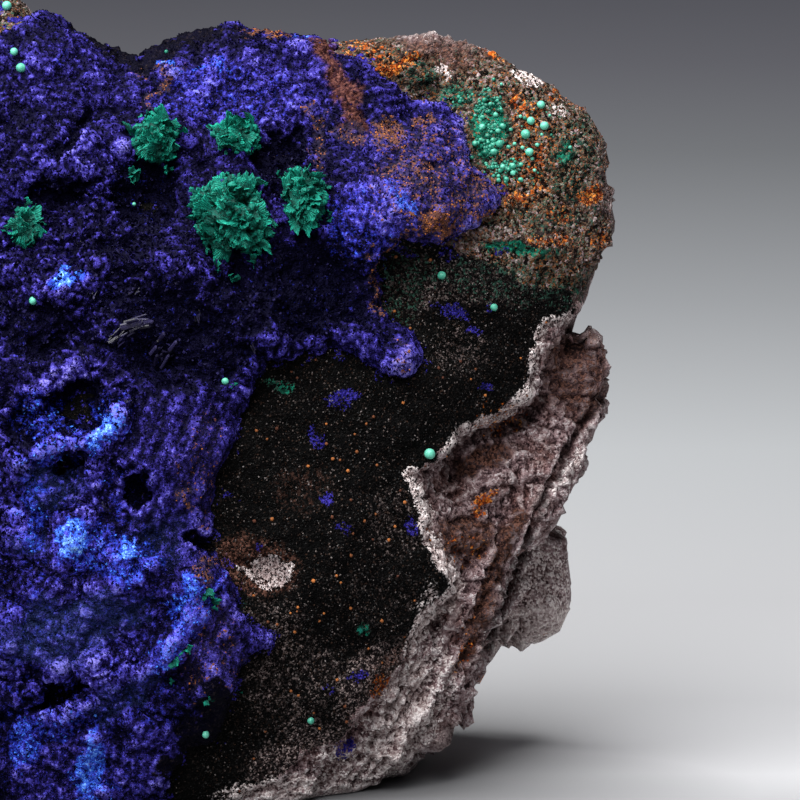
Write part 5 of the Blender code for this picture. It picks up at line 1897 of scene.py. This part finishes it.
@dataclass
class Beads:
    """The round malachite beads: one for each of their nodes, and the patch with its green bed."""

    rise: float = 0.45
    patch_scale: float = 0.58
    bed_grains: int = 420
    seed: int = 61
    lone: tuple[tuple[float, float, float], ...] = (
        (29.8, 45.2, 0.68), (31.5, 67.4, 0.52), (38.0, 63.5, 0.45), (43.8, 88.6, 0.5), (42.5, 86.8, 0.5),
        (44.4, 86.0, 0.55), (41.9, 85.0, 0.6), (42.4, 82.8, 0.55), (-20.9, 93.4, 0.6), (-22.0, 95.2, 0.5),
        (-22.8, 101.0, 0.6), (15.0, 11.9, 0.45), (-19.6, 64.4, 0.5), (4.5, 54.0, 0.45), (1.9, 10.2, 0.45),
    )
    patch: tuple[tuple[float, float, float], ...] = (
        (36.5, 85.8, 0.75), (38.6, 83.8, 0.8), (38.1, 82.8, 0.75), (36.9, 82.7, 0.7), (35.6, 83.9, 0.65),
        (39.1, 86.0, 0.6), (38.2, 87.4, 0.6), (39.0, 81.0, 0.6), (40.3, 81.2, 0.7), (40.4, 80.2, 0.6),
        (39.4, 79.4, 0.6), (38.5, 79.3, 0.5), (41.4, 81.3, 0.5), (41.3, 79.3, 0.6), (37.0, 88.6, 0.5),
        (44.0, 85.0, 0.4), (43.4, 83.8, 0.45), (41.6, 83.4, 0.45), (39.7, 83.5, 0.5), (36.4, 86.0, 0.5),
        (39.0, 86.1, 0.5), (36.1, 82.4, 0.5), (35.2, 82.2, 0.45), (40.2, 81.3, 0.45), (42.7, 82.0, 0.4),
        (47.5, 83.4, 0.45), (38.0, 91.9, 0.45), (38.9, 91.3, 0.4), (36.8, 89.4, 0.55), (37.6, 88.9, 0.45),
        (38.4, 89.3, 0.4), (37.4, 87.9, 0.5), (36.6, 87.2, 0.5), (38.5, 85.5, 0.55), (37.1, 84.9, 0.6),
        (37.9, 84.3, 0.6), (36.3, 84.4, 0.5), (38.9, 88.2, 0.4), (40.1, 85.6, 0.4), (40.6, 83.9, 0.4),
        (41.3, 87.3, 0.4), (43.0, 80.6, 0.4), (45.0, 87.4, 0.35), (-2.9, 95.4, 0.4), (-3.0, 83.4, 0.35),
        (-7.0, 76.3, 0.4),
    )

    def _balls(self, spots: tuple, grounds: list[BVHTree], rng: np.random.Generator,
               ) -> tuple[Array, Array, Array]:
        """Sets balls on the stone at the drawing's spots, a lone one finer than those of the patch.

        Args:
            spots: across, up and radius of each.
            grounds: the stone's surfaces.
            rng: the seeded generator.

        Returns:
            Points, triangles and each point's tone.
        """
        fine = len(spots) == 1
        template, faces = ball(15, 24) if fine else ball(9, 16)
        radius = np.array([spot[2] for spot in spots]) * (1.0 if fine else self.patch_scale)
        places, normals = (np.array(part) for part in zip(*(seat(grounds, across, up) for across, up, _ in spots)))
        places = places + normals * (self.rise * radius)[:, None]
        sizes = np.repeat(radius[:, None], 3, axis=1) * rng.uniform(0.94, 1.04, (len(spots), 3))
        points, faces = strewn(places, normals, sizes, template, faces, 0.2, rng)
        grain = Grain(self.seed)
        middle = np.repeat(places, len(template), axis=0)
        lumps = (0.05 if fine else 0.16) * grain.fractal(points, 0.5, 2)
        points = middle + (points - middle) * (1.0 + lumps)[:, None]
        return points, faces, np.repeat(rng.random(len(spots)), len(template))

    def build(self, rock: HostRock, grounds: list[BVHTree]) -> None:
        """Makes each lone bead over its node, and the patch over its own.

        Args:
            rock: the finished rock.
            grounds: the stone's surfaces.
        """
        rng = np.random.default_rng(self.seed)
        finish = BeadFinish().material()
        for number, spot in enumerate(self.lone, start=1):
            name = f"malachite_bead_{number:02d}"
            points, faces, tone = self._balls((spot,), grounds, rng)
            mesh = mesh_of(name + "_round", points, faces, True)
            add_marks(mesh, {"tone": 0.5 + 0.5 * tone})
            show(name + "_round", mesh, finish, (name,))
        points, faces, tone = self._balls(self.patch, grounds, rng)
        across, up, _ = SHEET.from_world(rock.shell.points)
        flat = np.stack((across, up, np.zeros_like(across)), axis=1)
        bed = painted(across, up, BED_MARKS) * smooth_step(Grain(self.seed).fractal(flat, 1.6, 2), -0.25, 0.3)
        facing = smooth_step(rock.shell.normals @ SHEET.towards_eye(), 0.0, 0.3)
        places, normals = rock.shell.scattered(bed * facing, self.bed_grains, rng)
        width = 0.1 + 0.2 * rng.random(self.bed_grains) ** 2
        sizes = np.repeat(width[:, None], 3, axis=1)
        template, template_faces = ball(4, 8)
        more, more_faces = strewn(places, normals, sizes, template, template_faces, 0.5, rng)
        faces = np.concatenate((faces, more_faces + len(points)))
        teal = smooth_step(SHEET.from_world(points)[0], 38.0, 40.5)
        bed_tone = np.repeat(0.4 * rng.random(self.bed_grains), len(template))
        tone = np.concatenate((0.1 + 0.35 * teal + 0.55 * tone, bed_tone))
        mesh = mesh_of("malachite_bead_patch_crust", np.concatenate((points, more)), faces, True)
        add_marks(mesh, {"tone": tone})
        show("malachite_bead_patch_crust", mesh, finish, ("malachite_bead_patch",))


# ---- studio


@dataclass
class Studio:
    """A plain floor painted darker away from the stone as a fall-off of light, soft lights, and the camera."""

    floor_radius: float = 5.0
    floor_sides: int = 96
    near: float = -0.1
    far: float = 1.3
    # Painted fall-off of light: the floor's colour by the distance behind the stone, mid grey in front, lightest just
    # behind the stone's front and darker farther back.
    stops: tuple[tuple[float, str], ...] = (
        (0.0, "848486"), (0.045, "7A7A7C"), (0.07, "B8B8BA"), (0.106, "A2A2A4"), (0.163, "9C9C9E"), (0.27, "A0A2A4"),
        (0.416, "949699"), (0.63, "888A8E"), (0.81, "8A8A92"), (1.0, "91919B"),
    )
    # Painted contact shadow on the floor round the stone's base: its scale, shift, share and colour.
    painted_shadow_scale: tuple[float, float, float] = (20.0, 36.0, 0.0)
    painted_shadow_shift: tuple[float, float, float] = (-0.42, 0.38, 0.0)
    painted_contact_shadow: tuple[float, str] = (0.65, "1C1C1D")
    lights: tuple[tuple[str, tuple[float, float, float], float, float, str], ...] = (
        ("key_softbox", (-0.22, -0.24, 0.75), 0.9, 22.0, "FFFFFF"),
        ("front_softbox", (-0.1, -0.75, 0.55), 0.4, 2.4, "F8F9FF"),
    )
    aim: tuple[float, float, float] = (0.0, 0.0, 0.05)
    room: tuple[float, str] = (0.1, "C8CAD0")
    camera_place: tuple[float, float, float] = (0.02625, -0.7957, 0.1593)
    camera_tilt: float = math.radians(82.0)
    lens: float = 288.0
    sensor: float = 36.0
    clip: tuple[float, float] = (0.05, 20.0)

    def _floor(self) -> None:
        """Lays the floor: one disc, with a painted fall-off of light by the distance behind the stone and a painted
        contact shadow where it meets it.
        """
        sides = self.floor_sides
        bearing = np.linspace(0.0, 2.0 * math.pi, sides, endpoint=False)
        rim = np.stack((np.cos(bearing), np.sin(bearing), np.zeros(sides)), axis=1) * self.floor_radius
        here = np.arange(sides)
        faces = np.stack((here, (here + 1) % sides, np.full(sides, sides)), axis=1)
        mesh = mesh_of("studio_floor", np.concatenate((rim, np.zeros((1, 3)))) / MM, faces, False)
        made = Finish("matt_paper_floor")
        depth = add_node(made.tree, "SeparateXYZ", {0: made.place}).outputs["Y"]
        # Painted fall-off of light by the distance behind the stone.
        colour = made.ramp(made.step(depth, self.near, self.far), *self.stops)
        # Painted contact shadow: the floor is darkened in a soft patch round the stone's base.
        offset = add_node(made.tree, "VectorMath", {
            0: made.place, 1: self.painted_shadow_scale, 2: self.painted_shadow_shift}, operation="MULTIPLY_ADD").outputs[0]
        reach = add_node(made.tree, "VectorMath", {0: offset}, operation="LENGTH").outputs["Value"]
        share, painted_shadow_colour = self.painted_contact_shadow
        colour = made.blend(made.step(reach, 1.0, 0.2, 0.0, share), colour, painted_shadow_colour)
        mesh.materials.append(made.done(colour, Roughness=0.8, Specular_IOR_Level=0.15))
        self._placed("studio_floor", mesh)

    def _placed(self, name: str, data: ID) -> Object:
        """Puts a mesh, a light or a camera into the scene.

        Args:
            name: its name.
            data: what it is.

        Returns:
            Its object.
        """
        item = bpy.data.objects.new(name, data)
        bpy.context.scene.collection.objects.link(item)
        return item

    def build(self) -> None:
        """Sets up the floor, the square soft lights, the dim surroundings and the camera."""
        self._floor()
        for name, place, size, power, colour in self.lights:
            glow = bpy.data.lights.new(name, "AREA")
            glow.size, glow.energy, glow.color = size, power, linear(colour)[:3]
            lamp = self._placed(name, glow)
            lamp.location = place
            lamp.rotation_euler = (Vector(self.aim) - Vector(place)).to_track_quat("-Z", "Y").to_euler()
        world = bpy.data.worlds.new("pale_room")
        world.use_nodes = True
        background = world.node_tree.nodes["Background"]
        background.inputs["Strength"].default_value, colour = self.room
        background.inputs["Color"].default_value = linear(colour)
        bpy.context.scene.world = world
        data = bpy.data.cameras.new("front_view")
        data.lens, data.sensor_width = self.lens, self.sensor
        data.clip_start, data.clip_end = self.clip
        camera = self._placed("front_view", data)
        camera.location = self.camera_place
        camera.rotation_euler = (self.camera_tilt, 0.0, 0.0)
        bpy.context.scene.camera = camera
        bpy.context.scene.view_settings.view_transform = "Standard"


ROSETTE_FANS = {"main": 130, "right": 66, "upper": 60, "middle": 46, "left": 36, "far": 24}


def main() -> None:
    """Builds the specimen piece by piece."""
    logging.basicConfig(level=logging.INFO, format="%(name)s %(message)s")
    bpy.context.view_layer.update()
    rock = HostRock()
    rock.build()
    crust = AzuriteCrust()
    crust.build()
    AzuriteDruse().build(crust)
    OxideGrains().build(rock)
    LimoniteGrains().build(rock, crust)
    grounds = [BVHTree.FromPolygons(item.shell.points.tolist(), item.shell.triangles.tolist())
               for item in (rock, crust)]
    AzuriteLaths().build(grounds)
    malachite = MalachiteFinish().material()
    for seed, (side, fans) in enumerate(ROSETTE_FANS.items(), start=51):
        MalachiteRosette("malachite_spray_" + side, fans, seed).build(malachite)
    MalachiteSlivers().build(grounds, malachite)
    Beads().build(rock, grounds)
    Studio().build()
    bpy.context.view_layer.update()


if __name__ == "__main__":
    main()
